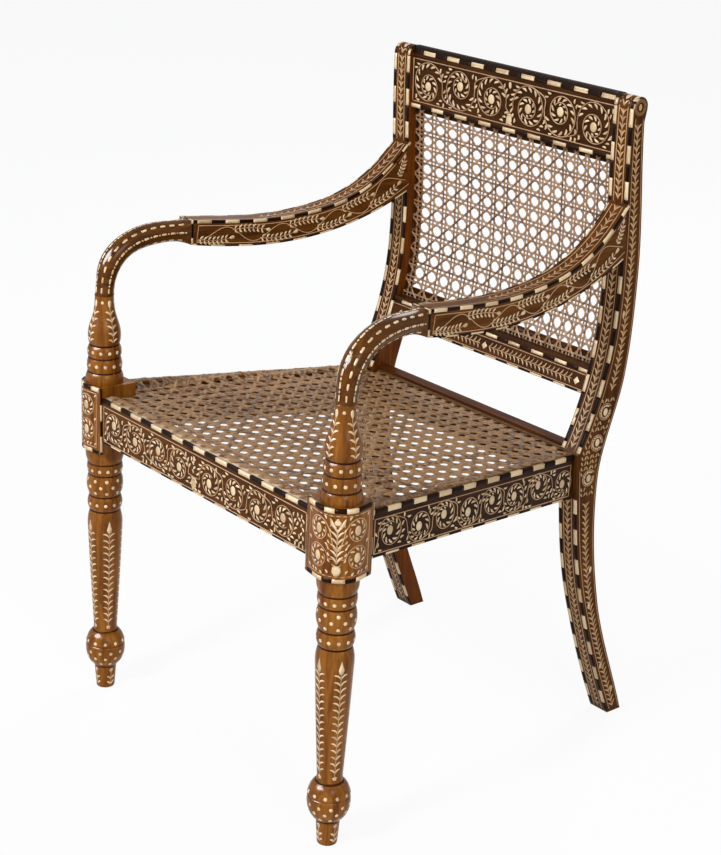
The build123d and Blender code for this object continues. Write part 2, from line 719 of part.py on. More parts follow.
def side_seat_rail():
    """The left side rail: it tapers in and falls towards the post and is scribed to it."""
    y_from, y_to = BLOCK_TO_REAR_FACE, knee_y + POST_WIDTH / 2
    side = [
        (y_from, side_rail_top(y_from)),
        (y_to, side_rail_top(y_to)),
        (y_to, side_rail_top(y_to) - SIDE_RAIL_HEIGHT),
        (y_from, side_rail_top(y_from) - SIDE_RAIL_HEIGHT),
    ]
    plan = [
        (side_rail_inner(y_from), y_from),
        (side_rail_outer(y_from), y_from),
        (side_rail_outer(y_to), y_to),
        (side_rail_inner(y_to), y_to),
    ]
    rail = (across_polygon(side, 0, FAR) & plan_prism(plan, 0, FAR)) - post_space()
    rail = rail + side_rail_front_tenon(0) + side_rail_rear_tenon(0)
    pegs = seat_pegs(PEG_GAP)
    return rail - seat_rebate() - pegs[1] - pegs[2]


def rear_seat_rail():
    """The plain rail between the posts."""
    low = REAR_RAIL_TOP - REAR_RAIL_HEIGHT
    rail = block(-post_inner_x, post_inner_x, rear_rail_front_y, REAR_RAIL_BACK, low, REAR_RAIL_TOP)
    half = rear_rail_tenon(0)
    rail = rail + half + mirrored(half, "right") - seat_rebate()
    return rail - both_sides(seat_pegs(PEG_GAP)[3:])


def both_sides(shapes):
    """The shapes and their mirror images as one list."""
    return shapes + [mirrored(shape, "right") for shape in shapes]


# ------------------------------------------------ seat cane
def cane_level(y):
    """Height of the seat cane's face."""
    front = front_rail_top - SEAT_CANE_DROP_FRONT
    rear = REAR_RAIL_TOP - SEAT_CANE_DROP_REAR
    share = (y - front_rail_rear_y) / (rear_rail_front_y - front_rail_rear_y)
    return front + share * (rear - front)


def seat_slab(low, high):
    """The layer between two offsets from the cane's face, across the whole seat."""
    corners = [
        (-FAR, cane_level(-FAR) + low),
        (FAR, cane_level(FAR) + low),
        (FAR, cane_level(FAR) + high),
        (-FAR, cane_level(-FAR) + high),
    ]
    return across_polygon(corners, -FAR, FAR)


def seat_plan(inset):
    """Plan of the seat's rebate less an inset, as an upright prism."""
    front = front_rail_rear_y - SEAT_REBATE + inset
    rear = rear_rail_front_y + SEAT_REBATE - inset
    block_x = block_inner_x - inset
    block_y = BLOCK_TO_REAR_FACE + inset
    post_x = post_inner_x - inset
    post_y = knee_y - CANE_GAP - inset
    right_half = [
        (block_x, front),
        (block_x, block_y),
        (side_rail_inner(block_y) + SEAT_REBATE - inset, block_y),
        (side_rail_inner(post_y) + SEAT_REBATE - inset, post_y),
        (post_x, post_y),
        (post_x, rear),
    ]
    return plan_prism(right_half + [(-x, y) for x, y in reversed(right_half)])


def seat_rebate():
    """What is cut away from the rails for the cane's edge."""
    return seat_plan(0) & seat_slab(-CANE_THICKNESS, FAR)


def cells(low, high, count):
    """Ends of the openings in one direction of a grid."""
    pitch = (high - low) / count
    margin = pitch * (1 - OPENING_SHARE) / 2
    return [(low + i * pitch + margin, low + (i + 1) * pitch - margin) for i in range(count)]


def seat_openings():
    """Upright prisms through the seat's sheet, in rows that narrow with the rails."""
    columns, rows = SEAT_OPENINGS
    y_low, y_high = front_rail_rear_y + OPENING_MARGIN, rear_rail_front_y - OPENING_MARGIN
    prisms = []
    for y_from, y_to in cells(y_low, y_high, rows):
        beside_block = y_from < BLOCK_TO_REAR_FACE + OPENING_MARGIN
        edges = [block_inner_x if beside_block else side_rail_inner(y) for y in (y_from, y_to)]
        front, rear = [edge - OPENING_MARGIN for edge in edges]
        for left, right in cells(-1, 1, columns):
            near = [(left * front, y_from), (right * front, y_from)]
            far = [(right * rear, y_to), (left * rear, y_to)]
            prisms.append(plan_prism(near + far))
    return prisms


def seat_cane():
    """The woven seat as a thin sheet with a coarse grid of openings."""
    return (seat_plan(CANE_GAP) & seat_slab(-CANE_THICKNESS, 0)) - seat_openings()


def seat_cane_binding():
    """Four flat strips along the sheet's edges."""
    ring = seat_plan(CANE_GAP) - seat_plan(CANE_GAP + SEAT_BINDING_WIDTH)
    ring = ring & seat_slab(0, SEAT_BINDING_THICKNESS)
    edge = CANE_GAP + SEAT_BINDING_WIDTH + BINDING_CLEARANCE
    front_x, rear_x = block_inner_x - edge, post_inner_x - edge
    front = ring & block(-front_x, front_x, -FAR, front_rail_rear_y, 0, FAR)
    rear = ring & block(-rear_x, rear_x, knee_y, FAR, 0, FAR)
    left = ring & block(post_inner_x, FAR, BLOCK_TO_REAR_FACE + edge, knee_y - edge, 0, FAR)
    return [front, rear, left, mirrored(left, "right")]


# ------------------------------------------------ back rails and back cane
def back_band(setback, depth, low, high, x_from, x_to):
    """A layer that follows the posts' front face, between two heights."""
    front = chain(POST_BACK_FRONT, lambda z, y: Vector(0, y + setback, z))
    rear = chain(POST_BACK_FRONT, lambda z, y: Vector(0, y + setback + depth, z))
    edges = [*front, Line(front[-1] @ 1, rear[-1] @ 1), *rear, Line(rear[0] @ 0, front[0] @ 0)]
    return across(edges, x_from, x_to) & block(x_from, x_to, 0, 2 * FAR, low, high)


def crest_blank():
    """The crest rail's board with its rounded top."""
    front = hermite(POST_BACK_FRONT, crest_bottom) + CREST_SETBACK
    radius = CREST_THICKNESS / 2
    spring = CREST_TOP - radius
    rear = front + CREST_THICKNESS
    edges = [
        Line((0, front, crest_bottom), (0, front, spring)),
        ThreePointArc((0, front, spring), (0, front + radius, CREST_TOP), (0, rear, spring)),
        Line((0, rear, spring), (0, rear, crest_bottom)),
        Line((0, rear, crest_bottom), (0, front, crest_bottom)),
    ]
    return across(edges, -post_inner_x, post_inner_x)


def back_rail_tenon(low, high, middle, gap):
    """A back rail's left tenon in the post between two heights, about the plane y = middle."""
    half = BACK_TENON_THICKNESS / 2 + gap
    x_to = post_inner_x + BACK_RAIL_TENON + gap
    return block(post_inner_x - OVERLAP, x_to, middle - half, middle + half, low - gap, high + gap)


def crest_tenon(gap):
    """The crest rail's left tenon in the post."""
    low, high = tenon_span(crest_bottom + BACK_REBATE, CREST_TOP - CREST_THICKNESS / 2)
    middle = hermite(POST_BACK_FRONT, crest_bottom) + CREST_SETBACK + CREST_THICKNESS / 2
    return back_rail_tenon(low, high, middle, gap)


def lower_rail_tenon(gap):
    """The lower back rail's left tenon in the post."""
    low, high = lower_rail_bottom + NARROW_SHOULDER, LOWER_RAIL_TOP - BACK_REBATE - NARROW_SHOULDER
    middle = hermite(POST_BACK_FRONT, (low + high) / 2) + LOWER_RAIL_SETBACK + LOWER_RAIL_THICKNESS / 2
    return back_rail_tenon(low, high, middle, gap)


def back_rebate():
    """What is cut away behind the back cane's edge, all round its opening."""
    side = post_inner_x + BACK_REBATE
    low, high = LOWER_RAIL_TOP - BACK_REBATE, crest_bottom + BACK_REBATE
    return back_band(BACK_CANE_SETBACK, FAR, low, high, -side, side)


def back_openings():
    """Boxes through the back's sheet."""
    x_reach = post_inner_x - OPENING_MARGIN
    columns = cells(-x_reach, x_reach, BACK_OPENINGS[0])
    rows = cells(LOWER_RAIL_TOP + OPENING_MARGIN, crest_bottom - OPENING_MARGIN, BACK_OPENINGS[1])
    return [block(*column, 0, FAR, *row) for row in rows for column in columns]


def back_cane():
    """The woven back as a thin curved sheet with a coarse grid of openings."""
    side = post_inner_x + BACK_REBATE - CANE_GAP
    low, high = LOWER_RAIL_TOP - BACK_REBATE + CANE_GAP, crest_bottom + BACK_REBATE - CANE_GAP
    return back_band(BACK_CANE_SETBACK, CANE_THICKNESS, low, high, -side, side) - back_openings()


def back_cane_binding():
    """Four strips that hold the sheet's edges in the rebate, behind it."""
    side = post_inner_x + BACK_REBATE - CANE_GAP
    low, high = LOWER_RAIL_TOP - BACK_REBATE + CANE_GAP, crest_bottom + BACK_REBATE - CANE_GAP
    setback = BACK_CANE_SETBACK + CANE_THICKNESS
    width, depth = BACK_BINDING_WIDTH, BACK_BINDING_THICKNESS
    left = back_band(setback, depth, low, high, side - width, side)
    inner = side - width - CANE_GAP
    return [
        back_band(setback, depth, low, low + width, -inner, inner),
        back_band(setback, depth, high - width, high, -inner, inner),
        left,
        mirrored(left, "right"),
    ]


def back_pegs(gap):
    """Pegs of the left half's two back joints, driven in from behind."""
    pegs = []
    for tenon in (crest_tenon(0), lower_rail_tenon(0)):
        box = tenon.bounding_box()
        z = box.center().Z
        back = hermite(POST_REAR, z)
        x = (post_inner_x + box.max.X) / 2
        pegs.append(rod(PEG_R + gap, (x, back - PLUG_SINK, z), (0, -1, 0), back - box.min.Y + PEG_R))
    return pegs


def crest_rail():
    """The broad top rail with tenons, rebate and peg holes."""
    half = crest_tenon(0)
    rail = crest_blank() + half + mirrored(half, "right") - back_rebate()
    return rail - both_sides(back_pegs(PEG_GAP)[:1])


def lower_back_rail():
    """The narrow rail under the back cane."""
    span = (lower_rail_bottom, LOWER_RAIL_TOP)
    rail = back_band(LOWER_RAIL_SETBACK, LOWER_RAIL_THICKNESS, *span, -post_inner_x, post_inner_x)
    half = lower_rail_tenon(0)
    rail = rail + half + mirrored(half, "right") - back_rebate()
    return rail - both_sides(back_pegs(PEG_GAP)[1:])


# ------------------------------------------------ arm screws
def screw_place():
    """Back of the post behind the arm's joint."""
    z = arm_joint_z() - ARM_TENON_HEIGHT / 4
    return Vector(POST_AXIS_X, hermite(POST_REAR, z), z)


def screw_parts(gap):
    """Shank and countersunk head, or their hole when a gap is given."""
    head = screw_place() - Vector(0, SCREW_SINK, 0)
    on_top = (Align.CENTER, Align.CENTER, Align.MAX)
    cone = Cone(SCREW_SHANK_R + gap, SCREW_HEAD_R + gap, SCREW_HEAD_HEIGHT, align=on_top)
    head_plane = Plane(origin=head, z_dir=(0, 1, 0))
    return head_plane * cone + rod(SCREW_SHANK_R + gap, head, (0, -1, 0), SCREW_LENGTH + gap)


def arm_screw_hole():
    """Screw hole and counterbore through post and arm."""
    mouth = screw_place() + Vector(0, SCREW_SINK, 0)
    return screw_parts(SCREW_GAP) + rod(SCREW_HEAD_R + SCREW_GAP, mouth, (0, -1, 0), 2 * SCREW_SINK)


def arm_screw_plug():
    """The wooden plug over the screw's head."""
    return rod(SCREW_HEAD_R, screw_place() - Vector(0, PLUG_SINK, 0), (0, -1, 0), SCREW_SINK - PLUG_SINK)


def front_leg():
    """The left leg with block, mortises and the support's hole."""
    leg = Pos(X=LEG_AXIS_X) * (leg_block() + turned_leg())
    leg = leg - front_rail_tenon(TENON_GAP) - side_rail_front_tenon(TENON_GAP) - spigot(SPIGOT_GAP)
    for peg in seat_pegs(PEG_GAP):
        leg -= peg
    return leg


# ------------------------------------------------ output
def write(name, shapes):
    """Writes one node: a solid or a group of separate ones."""
    shapes = shapes if isinstance(shapes, list) else [shapes]
    solids = [solid for shape in shapes for solid in shape.solids()]
    moved = [Pos(Y=-footprint_middle_y) * solid for solid in solids]
    export_step(moved[0] if len(moved) == 1 else Compound(children=moved), f"parts/{name}.step")


def main():
    os.makedirs("parts", exist_ok=True)
    pairs = {
        "front_leg": front_leg(),
        "rear_post": rear_post(),
        "side_seat_rail": side_seat_rail(),
        "arm_support": arm_support(),
        "arm_elbow": arm_elbow(),
        "arm_collar": arm_collar(),
        "arm": arm(),
    }
    for name, shape in pairs.items():
        for side in SIDES:
            write(f"{name}_{side}", mirrored(shape, side))
    write("front_seat_rail", front_seat_rail())
    write("rear_seat_rail", rear_seat_rail())
    write("crest_rail", crest_rail())
    write("lower_back_rail", lower_back_rail())
    write("seat_cane", seat_cane())
    write("seat_cane_binding", seat_cane_binding())
    write("back_cane", back_cane())
    write("back_cane_binding", back_cane_binding())
    write("arm_dowels", both_sides([elbow_dowel(0), collar_dowel(0)]))
    write("arm_screws", both_sides([screw_parts(0)]))
    write("arm_screw_plugs", both_sides([arm_screw_plug()]))
    write("seat_rail_pegs", both_sides(seat_pegs(0)))
    write("back_rail_pegs", both_sides(back_pegs(0)))


main()
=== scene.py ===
"""Looks of the open armchair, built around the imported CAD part.

Sizes are millimetres in the chair's building frame: the front legs' axes at Y = 0, the floor at Z = 0,
+X the sitter's left, the chair facing -Y. Piece.build() turns them into the frame's metres.
"""

import math
import random

import bpy
import numpy as np
from mathutils import Matrix, Vector
from mathutils.bvhtree import BVHTree


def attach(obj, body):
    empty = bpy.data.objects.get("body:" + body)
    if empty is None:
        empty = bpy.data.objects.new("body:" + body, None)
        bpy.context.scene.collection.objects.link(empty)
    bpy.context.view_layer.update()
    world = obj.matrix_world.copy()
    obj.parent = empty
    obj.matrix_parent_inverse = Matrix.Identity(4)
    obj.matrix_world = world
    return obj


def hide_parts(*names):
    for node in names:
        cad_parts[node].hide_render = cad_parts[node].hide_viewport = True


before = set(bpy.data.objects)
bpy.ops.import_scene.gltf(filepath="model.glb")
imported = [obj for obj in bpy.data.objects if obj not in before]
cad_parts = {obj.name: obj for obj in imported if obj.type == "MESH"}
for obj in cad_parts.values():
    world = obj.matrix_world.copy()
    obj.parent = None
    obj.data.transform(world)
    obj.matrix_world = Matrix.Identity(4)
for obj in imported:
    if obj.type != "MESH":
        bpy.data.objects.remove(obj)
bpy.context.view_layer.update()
random.seed(7)

# ------------------------------------------------ sizes shared with the CAD part
LEG_AXIS_X = 256.4
BLOCK_TOP = 467.0
BLOCK_BOTTOM = 372.4
BLOCK_CORNER_R = 31.4
BLOCK_TO_INNER_FACE = 31.0
BLOCK_TO_REAR_FACE = 30.0
BLOCK_INNER_LIP = 26.6
BLOCK_REAR_LIP = 24.8
BALL_BOTTOM = 35.0
BALL_WAIST = 70.0
BALL_TOP = 90.5
SHAFT_BOTTOM = 98.0
SHAFT_SHOULDER = 256.0
LEG_GROOVES = [278.0, 300.0, 332.0, 349.0]
SUPPORT_GROOVES = [482.5, 502.5, 520.5]
SUPPORT_TOP = 588.7
POST_AXIS_X = 215.1
POST_WIDTH = 32.8
POST_LEG_FRONT = [(0.0, 540.0, -0.46), (200.0, 463.5, -0.31), (400.0, 430.5, -0.10)]
POST_BACK_FRONT = [(421.0, 431.0, 0.50), (600.0, 483.0, 0.06), (884.0, 476.5, 0.0)]
POST_REAR = [
    (0.0, 566.8, -0.35),
    (190.0, 496.4, -0.25),
    (380.0, 473.5, 0.03),
    (520.0, 508.4, 0.16),
    (660.0, 516.2, 0.0),
    (862.0, 500.0, -0.05),
    (884.0, 503.5, 0.0),
]
SCROLL_R = 13.5
FRONT_RAIL_Y = -23.9
FRONT_RAIL_TOP = 453.8
FRONT_RAIL_BOTTOM = 390.4
SIDE_RAIL_FRONT = (280.2, 30.0, 454.4)  # outer top corner at the block
SIDE_RAIL_REAR = (225.5, 431.0, 420.4)  # and at the post
SIDE_RAIL_HEIGHT = 62.2
SIDE_RAIL_THICKNESS = 28.0
CREST_BOTTOM = 810.4
CREST_TOP = 898.0
CREST_SETBACK = 5.6
CREST_THICKNESS = 18.0
LOWER_RAIL_BOTTOM = 494.4
LOWER_RAIL_TOP = 529.0
LOWER_RAIL_SETBACK = 0.6
COLLAR_Y = 122.0
COLLAR_X = 242.7
COLLAR_WIDTH = 3.2
ELBOW_RISE = 58.6
ELBOW_PEAK = (36.4, 85.9)
ARM_FRONT_WIDTH = 29.0
ARM_TOP = [(122.0, 681.6, -0.09), (300.0, 672.2, 0.09), (483.0, 756.3, 1.15)]
ARM_BOTTOM = [(122.0, 647.3, -0.17), (300.0, 634.9, 0.07), (485.0, 685.6, 0.51)]
BACK_CANE_SETBACK = 15.0
CANE_THICKNESS = 1.6
FRAME_ORIGIN_Y = 267.7  # the frame's origin in the building frame

POST_INNER_X = POST_AXIS_X - POST_WIDTH / 2
POST_OUTER_X = POST_AXIS_X + POST_WIDTH / 2
BLOCK_INNER_X = LEG_AXIS_X - BLOCK_TO_INNER_FACE
ROLL_Z, ROLL_FRONT_Y = POST_BACK_FRONT[-1][:2]
X, Y, Z = np.eye(3)


def hermite(knots, at):
    """The smooth curve through (place, value, slope) knots, at a place."""
    spans = list(zip(knots, knots[1:]))
    (a, value_a, slope_a), (b, value_b, slope_b) = next((s for s in spans if at <= s[1][0]), spans[-1])
    span = b - a
    t = (at - a) / span
    value = (2 * t**3 - 3 * t**2 + 1) * value_a + (t**3 - 2 * t**2 + t) * span * slope_a
    return value + (3 * t**2 - 2 * t**3) * value_b + (t**3 - t**2) * span * slope_b


# ------------------------------------------------ materials
GRAIN_STOPS = (0.28, 0.5, 0.72)
CANE_STOPS = (0.35, 0.75, 1.0)
INLAY_STOPS = (0.2, 0.9)
INWARD_LIMIT = -0.1  # place along X, in metres, times the normal's X
ALONG_X = (9.0, 90.0, 90.0)
ALONG_Y = (90.0, 9.0, 90.0)
ALONG_Z = (90.0, 90.0, 9.0)
INNER_TONES = ((72, 35, 8), (104, 53, 15), (130, 72, 25))
# Dark, middle and light tone on the screen, way of the grain, roughness, specular, tones of inward faces
WOODS = {
    "turned_wood": (((76, 37, 4), (120, 70, 17), (152, 98, 35)), ALONG_Z, 0.2, 0.13, None),
    "elbow_wood": (((52, 25, 1), (82, 44, 3), (106, 61, 8)), ALONG_Y, 0.14, 0.14, None),
    "post_wood": (((48, 24, 4), (78, 42, 10), (106, 62, 18)), ALONG_Z, 0.3, 0.04, INNER_TONES),
    "arm_wood": (((58, 31, 6), (88, 49, 12), (112, 66, 19)), ALONG_Y, 0.3, 0.04, None),
    "front_wood": (((50, 26, 6), (76, 42, 12), (100, 60, 22)), ALONG_X, 0.3, 0.04, None),
    "side_wood": (((32, 16, 5), (48, 26, 10), (66, 38, 18)), ALONG_Y, 0.32, 0.04, INNER_TONES),
    "crest_wood": (((38, 18, 3), (60, 32, 8), (80, 45, 14)), ALONG_X, 0.3, 0.04, None),
    "plain_wood": (((44, 19, 4), (68, 34, 9), (92, 50, 17)), ALONG_X, 0.36, 0.02, None),
}
STRANDS = {
    "seat_strands": ((68, 42, 17), (115, 79, 43), (150, 112, 70)),
    "back_strands": ((70, 44, 24), (113, 80, 52), (154, 118, 85)),
}
# Dark and light tone, roughness and specular
INLAYS = {
    "bone": (((188, 156, 116), (224, 197, 156)), 0.38, 0.3),
    "line_bone": (((158, 117, 80), (190, 150, 109)), 0.42, 0.3),
    "ebony": (((20, 9, 4), (36, 18, 8)), 0.34, 0.03),
    "leaf_bone": (((158, 121, 77), (194, 156, 106)), 0.42, 0.3),
    "golden_wood": (((106, 70, 20), (140, 98, 36)), 0.36, 0.3),
    # painted shade: dark strips that stand for the shade in the turned pieces' grooves
    "painted_groove_shade": (((40, 18, 4), (62, 32, 8)), 0.4, 0.03),
    "lap_wood": (((96, 60, 30), (128, 84, 46)), 0.45, 0.1),
    # painted light: a pale strip that stands for the lit floor seen through the cane's holes
    "lap_painted_floor_light": (((172, 146, 122), (200, 178, 154)), 0.5, 0.1),
}
INLAY_SLOTS = ["bone", "line_bone", "ebony", "leaf_bone", "golden_wood", "painted_groove_shade"]
BONE, LINE, EBONY, LEAF, GOLD, GROOVE_SHADE = range(len(INLAY_SLOTS))
# By the start of a CAD node's name; the rest are plain_wood
NODE_MATERIALS = {
    "front_leg": "turned_wood",
    "arm_support": "turned_wood",
    "arm_elbow": "elbow_wood",
    "arm_left": "arm_wood",
    "arm_right": "arm_wood",
    "rear_post": "post_wood",
    "front_seat_rail": "front_wood",
    "side_seat_rail": "side_wood",
    "crest_rail": "crest_wood",
    "lower_back_rail": "crest_wood",
    "seat_cane": "seat_strands",
    "back_cane": "back_strands",
}


def srgb(red, green, blue):
    """A colour written as 0-255 screen values, as the linear one that Blender takes."""
    linear = [((c / 255 + 0.055) / 1.055) ** 2.4 if c > 10 else c / 255 / 12.92 for c in (red, green, blue)]
    return (*linear, 1.0)


class Nodes:
    """Short words for building the node tree of a material or world."""

    def __init__(self, owner):
        owner.use_nodes = True
        self.owner = owner
        self.tree = owner.node_tree

    def add(self, kind, **values):
        node = self.tree.nodes.new(kind)
        for key, value in values.items():
            if key in node.inputs:
                node.inputs[key].default_value = value
            else:
                setattr(node, key, value)
        return node

    def link(self, out, into):
        self.tree.links.new(out, into)

    def math(self, operation, *terms):
        """Result of a math node; each term is a socket or a number."""
        node = self.add("ShaderNodeMath", operation=operation)
        for term, socket in zip(terms, node.inputs):
            if isinstance(term, float):
                socket.default_value = term
            else:
                self.link(term, socket)
        return node.outputs[0]

    def noise(self, place, **values):
        node = self.add("ShaderNodeTexNoise", **values)
        self.link(place, node.inputs["Vector"])
        return node.outputs["Fac"]

    def place(self):
        return self.add("ShaderNodeTexCoord").outputs["Object"]

    def ramp(self, factor, places, tones):
        """Colour ramp with a tone at each of the places."""
        node = self.add("ShaderNodeValToRGB")
        elements = node.color_ramp.elements
        for _ in tones[2:]:
            elements.new(0.5)
        for element, place, tone in zip(elements, places, tones):
            element.position = place
            element.color = srgb(*tone)
        self.link(factor, node.inputs["Fac"])
        return node.outputs["Color"]

    def facing_inward(self, outer, inner):
        """One colour on most faces, the other on those that look to the chair's middle plane."""
        coordinates = self.add("ShaderNodeTexCoord")
        parts = []
        for output in ("Object", "Normal"):
            split = self.add("ShaderNodeSeparateXYZ")
            self.link(coordinates.outputs[output], split.inputs[0])
            parts.append(split.outputs["X"])
        inward = self.math("LESS_THAN", self.math("MULTIPLY", *parts), INWARD_LIMIT)
        blend = self.add("ShaderNodeMix", data_type="RGBA")
        self.link(inward, blend.inputs["Factor"])
        self.link(outer, blend.inputs[6])
        self.link(inner, blend.inputs[7])
        return blend.outputs[2]

    def bump(self, height, distance, strength):
        node = self.add("ShaderNodeBump", Distance=distance, Strength=strength)
        self.link(height, node.inputs["Height"])
        self.link(node.outputs["Normal"], self.tree.nodes["Principled BSDF"].inputs["Normal"])

    def finish(self, colour, roughness, specular):
        """Gives the material its colour, which is a socket or a value, and its polish."""
        inputs = self.tree.nodes["Principled BSDF"].inputs
        if isinstance(colour, tuple):
            inputs["Base Color"].default_value = colour
        else:
            self.link(colour, inputs["Base Color"])
        inputs["Roughness"].default_value = roughness
        inputs["Specular IOR Level"].default_value = specular
        return self.owner


def wood(name, tones, grain, roughness, specular, inner):
    """Polished hardwood. grain gives the noise's scale along X, Y and Z, least along the fibres.
    inner gives the tones of the faces that look to the chair's middle, where they differ."""
    n = Nodes(bpy.data.materials.new(name))
    stretch = n.add("ShaderNodeMapping", Scale=grain)
    n.link(n.place(), stretch.inputs["Vector"])
    fibres = stretch.outputs["Vector"]
    figure = n.noise(fibres, Scale=1.0, Detail=6.0, Roughness=0.62, Distortion=0.9)
    colour = n.ramp(figure, GRAIN_STOPS, tones)
    if inner:
        colour = n.facing_inward(colour, n.ramp(figure, GRAIN_STOPS, inner))
    n.bump(n.noise(fibres, Scale=6.0, Detail=4.0, Roughness=0.7), 0.0002, 0.25)
    return n.finish(colour, roughness, specular)


def cane(name, tones):
    n = Nodes(bpy.data.materials.new(name))
    tone = n.add("ShaderNodeAttribute", attribute_name="tone").outputs["Fac"]
    streaks = n.noise(n.place(), Scale=170.0, Detail=4.0, Roughness=0.65)
    return n.finish(n.ramp(n.math("ADD", streaks, tone), CANE_STOPS, tones), 0.42, 0.2)


def inlay_material(name, tones, roughness, specular):
    """Bone, ebony or line: one even colour with a slight difference from piece to piece."""
    n = Nodes(bpy.data.materials.new(name))
    tone = n.add("ShaderNodeAttribute", attribute_name="tone").outputs["Fac"]
    mottle = n.noise(n.place(), Scale=260.0, Detail=3.0)
    colour = n.ramp(n.math("MULTIPLY_ADD", mottle, 0.5, tone), INLAY_STOPS, tones)
    return n.finish(colour, roughness, specular)


materials = {name: wood(name, *look) for name, look in WOODS.items()}
materials |= {name: cane(name, tones) for name, tones in STRANDS.items()}
materials |= {name: inlay_material(name, *look) for name, look in INLAYS.items()}


def dress_nodes():
    for name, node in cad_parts.items():
        chosen = next((m for start, m in NODE_MATERIALS.items() if name.startswith(start)), "plain_wood")
        node.data.materials.clear()
        node.data.materials.append(materials[chosen])


# ------------------------------------------------ meshes
class Piece:
    """Gathers closed bars of points, in millimetres, into one mesh object."""

    def __init__(self, name, material_names):
        self.name = name
        self.material_names = material_names
        self.points = []
        self.polygons = []
        self.slots = []
        self.tones = []
        self.count = 0

    def bar(self, loops, slot=0):
        """Closed skin over cross-sections given as an (n, m, 3) array, capped at both ends."""
        n, m, _ = loops.shape
        index = np.arange(n * m).reshape(n, m) + self.count
        following = np.roll(index, -1, axis=1)
        quads = np.stack([index[:-1], index[1:], following[1:], following[:-1]], axis=-1).reshape(-1, 4)
        self.points.append(loops.reshape(-1, 3))
        self.polygons.extend([*quads.tolist(), index[0].tolist(), index[-1][::-1].tolist()])
        faces = len(quads) + 2
        self.slots.extend([slot] * faces)
        self.tones.extend([random.random()] * faces)
        self.count += n * m

    def mirrored(self, name):
        """The same piece on the chair's other side."""
        other = Piece(name, self.material_names)
        other.points = [points * (-1, 1, 1) for points in self.points]
        other.polygons = [polygon[::-1] for polygon in self.polygons]
        other.slots = self.slots
        other.tones = self.tones
        return other

    def build(self):
        mesh = bpy.data.meshes.new(self.name)
        points = (np.concatenate(self.points) - (0, FRAME_ORIGIN_Y, 0)) / 1000
        sizes = np.array([len(p) for p in self.polygons])
        corners = np.concatenate([np.array(p) for p in self.polygons])
        mesh.vertices.add(len(points))
        mesh.vertices.foreach_set("co", points.ravel())
        mesh.loops.add(len(corners))
        mesh.loops.foreach_set("vertex_index", corners)
        mesh.polygons.add(len(sizes))
        mesh.polygons.foreach_set("loop_start", np.concatenate([[0], np.cumsum(sizes)[:-1]]))
        mesh.polygons.foreach_set("material_index", self.slots)
        mesh.update(calc_edges=True)
        mesh.attributes.new("tone", "FLOAT", "FACE").data.foreach_set("value", self.tones)
        for name in self.material_names:
            mesh.materials.append(materials[name])
        made = bpy.data.objects.new(self.name, mesh)
        bpy.context.scene.collection.objects.link(made)
        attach(made, "root")
        return made


def columns(first, second):
    """(n, 2) places from two rows of numbers, either of which may be one number."""
    return np.stack(np.broadcast_arrays(first, second), axis=1)


# ------------------------------------------------ woven cane
SEAT_STRAND_WIDTH = 5.5
BACK_STRAND_WIDTH = 2.5
STRAND_THICKNESS = 0.6
STRAND_CROWN = 0.25  # rise of a strand's rounded face
STRAND_STEPS = 4  # points of a strand from one crossing to the next
PAIR_REACH = 0.13  # from the middle of a pair to each of its strands, as a share of the pitch
UPRIGHT_WAVE = 0.35  # how far the paired strands weave out of the sheet's middle
DIAGONAL_WAVE = 0.55


def inside(polygon, at):
    """Whether each of the (n, 2) places lies in the polygon."""
    found = np.zeros(len(at), bool)
    for (x1, y1), (x2, y2) in zip(polygon, polygon[1:] + polygon[:1]):
        if y1 != y2:
            crosses = (at[:, 1] < y1) != (at[:, 1] < y2)
            found ^= crosses & (at[:, 0] < x1 + (at[:, 1] - y1) * (x2 - x1) / (y2 - y1))
    return found


def runs_inside(polygon, at):
    """Index ranges of the stretches of a line of places that lie in the polygon."""
    kept = np.flatnonzero(inside(polygon, at))
    if len(kept) == 0:
        return []
    groups = np.split(kept, np.flatnonzero(np.diff(kept) > 1) + 1)
    return [(group[0], group[-1] + 1) for group in groups if len(group) > 1]


def strand(piece, surface, places, heights, polygon, width):
    """One split cane over (n, 2) places, cut at the polygon, at the given heights off the sheet."""
    steps = np.linspace(0, len(places) - 1, (len(places) - 1) * STRAND_STEPS + 1)
    marks = np.arange(len(places))
    fine = columns(*(np.interp(steps, marks, places[:, i]) for i in (0, 1)))
    wave = np.interp(steps, marks, heights)
    along = np.gradient(fine, axis=0)
    along /= np.linalg.norm(along, axis=1)[:, None]
    side = columns(along[:, 1], -along[:, 0])
    half, low, high = width / 2, -STRAND_THICKNESS / 2, STRAND_THICKNESS / 2
    section = [(-half, low), (half, low), (half, high), (0, high + STRAND_CROWN), (-half, high)]
    for start, end in runs_inside(polygon, fine):
        picked = np.unique(np.append(np.arange(start, end, 2), end - 1))
        loops = [surface(fine[picked] + side[picked] * out, wave[picked] + up) for out, up in section]
        piece.bar(np.stack(loops, axis=1))


def weave(piece, surface, x_of, y_of, x_span, y_span, polygon, width):
    """Six-way cane. Holes have whole numbers; x_of and y_of turn those into millimetres."""
    pair = (0.5 - PAIR_REACH, 0.5 + PAIR_REACH)
    across, up = np.arange(*x_span), np.arange(*y_span)
    for sign, share in zip((1, -1), pair):
        for lines, crossed, upright in ((across, up, True), (up, across, False)):
            marks = np.sort(np.concatenate([crossed, crossed + pair[0], crossed + pair[1]]))
            heights = UPRIGHT_WAVE * (sign if upright else -sign) * np.tile([0, 1, -1], len(crossed))
            for line in lines + share:
                places = columns(x_of(line), y_of(marks)) if upright else columns(x_of(marks), y_of(line))
                strand(piece, surface, places, heights, polygon, width)
    reach = len(across) + len(up)
    halves = np.arange(2 * x_span[0], 2 * x_span[1]) / 2
    over = DIAGONAL_WAVE * np.where(np.arange(len(halves)) % 2 == 0, -1.0, 1.0)
    for k in range(-reach, reach):
        for slope in (-1, 1):
            rows = y_span[0] + k + 0.5 + slope * (halves - x_span[0])
            strand(piece, surface, columns(x_of(halves), y_of(rows)), -slope * over, polygon, width)


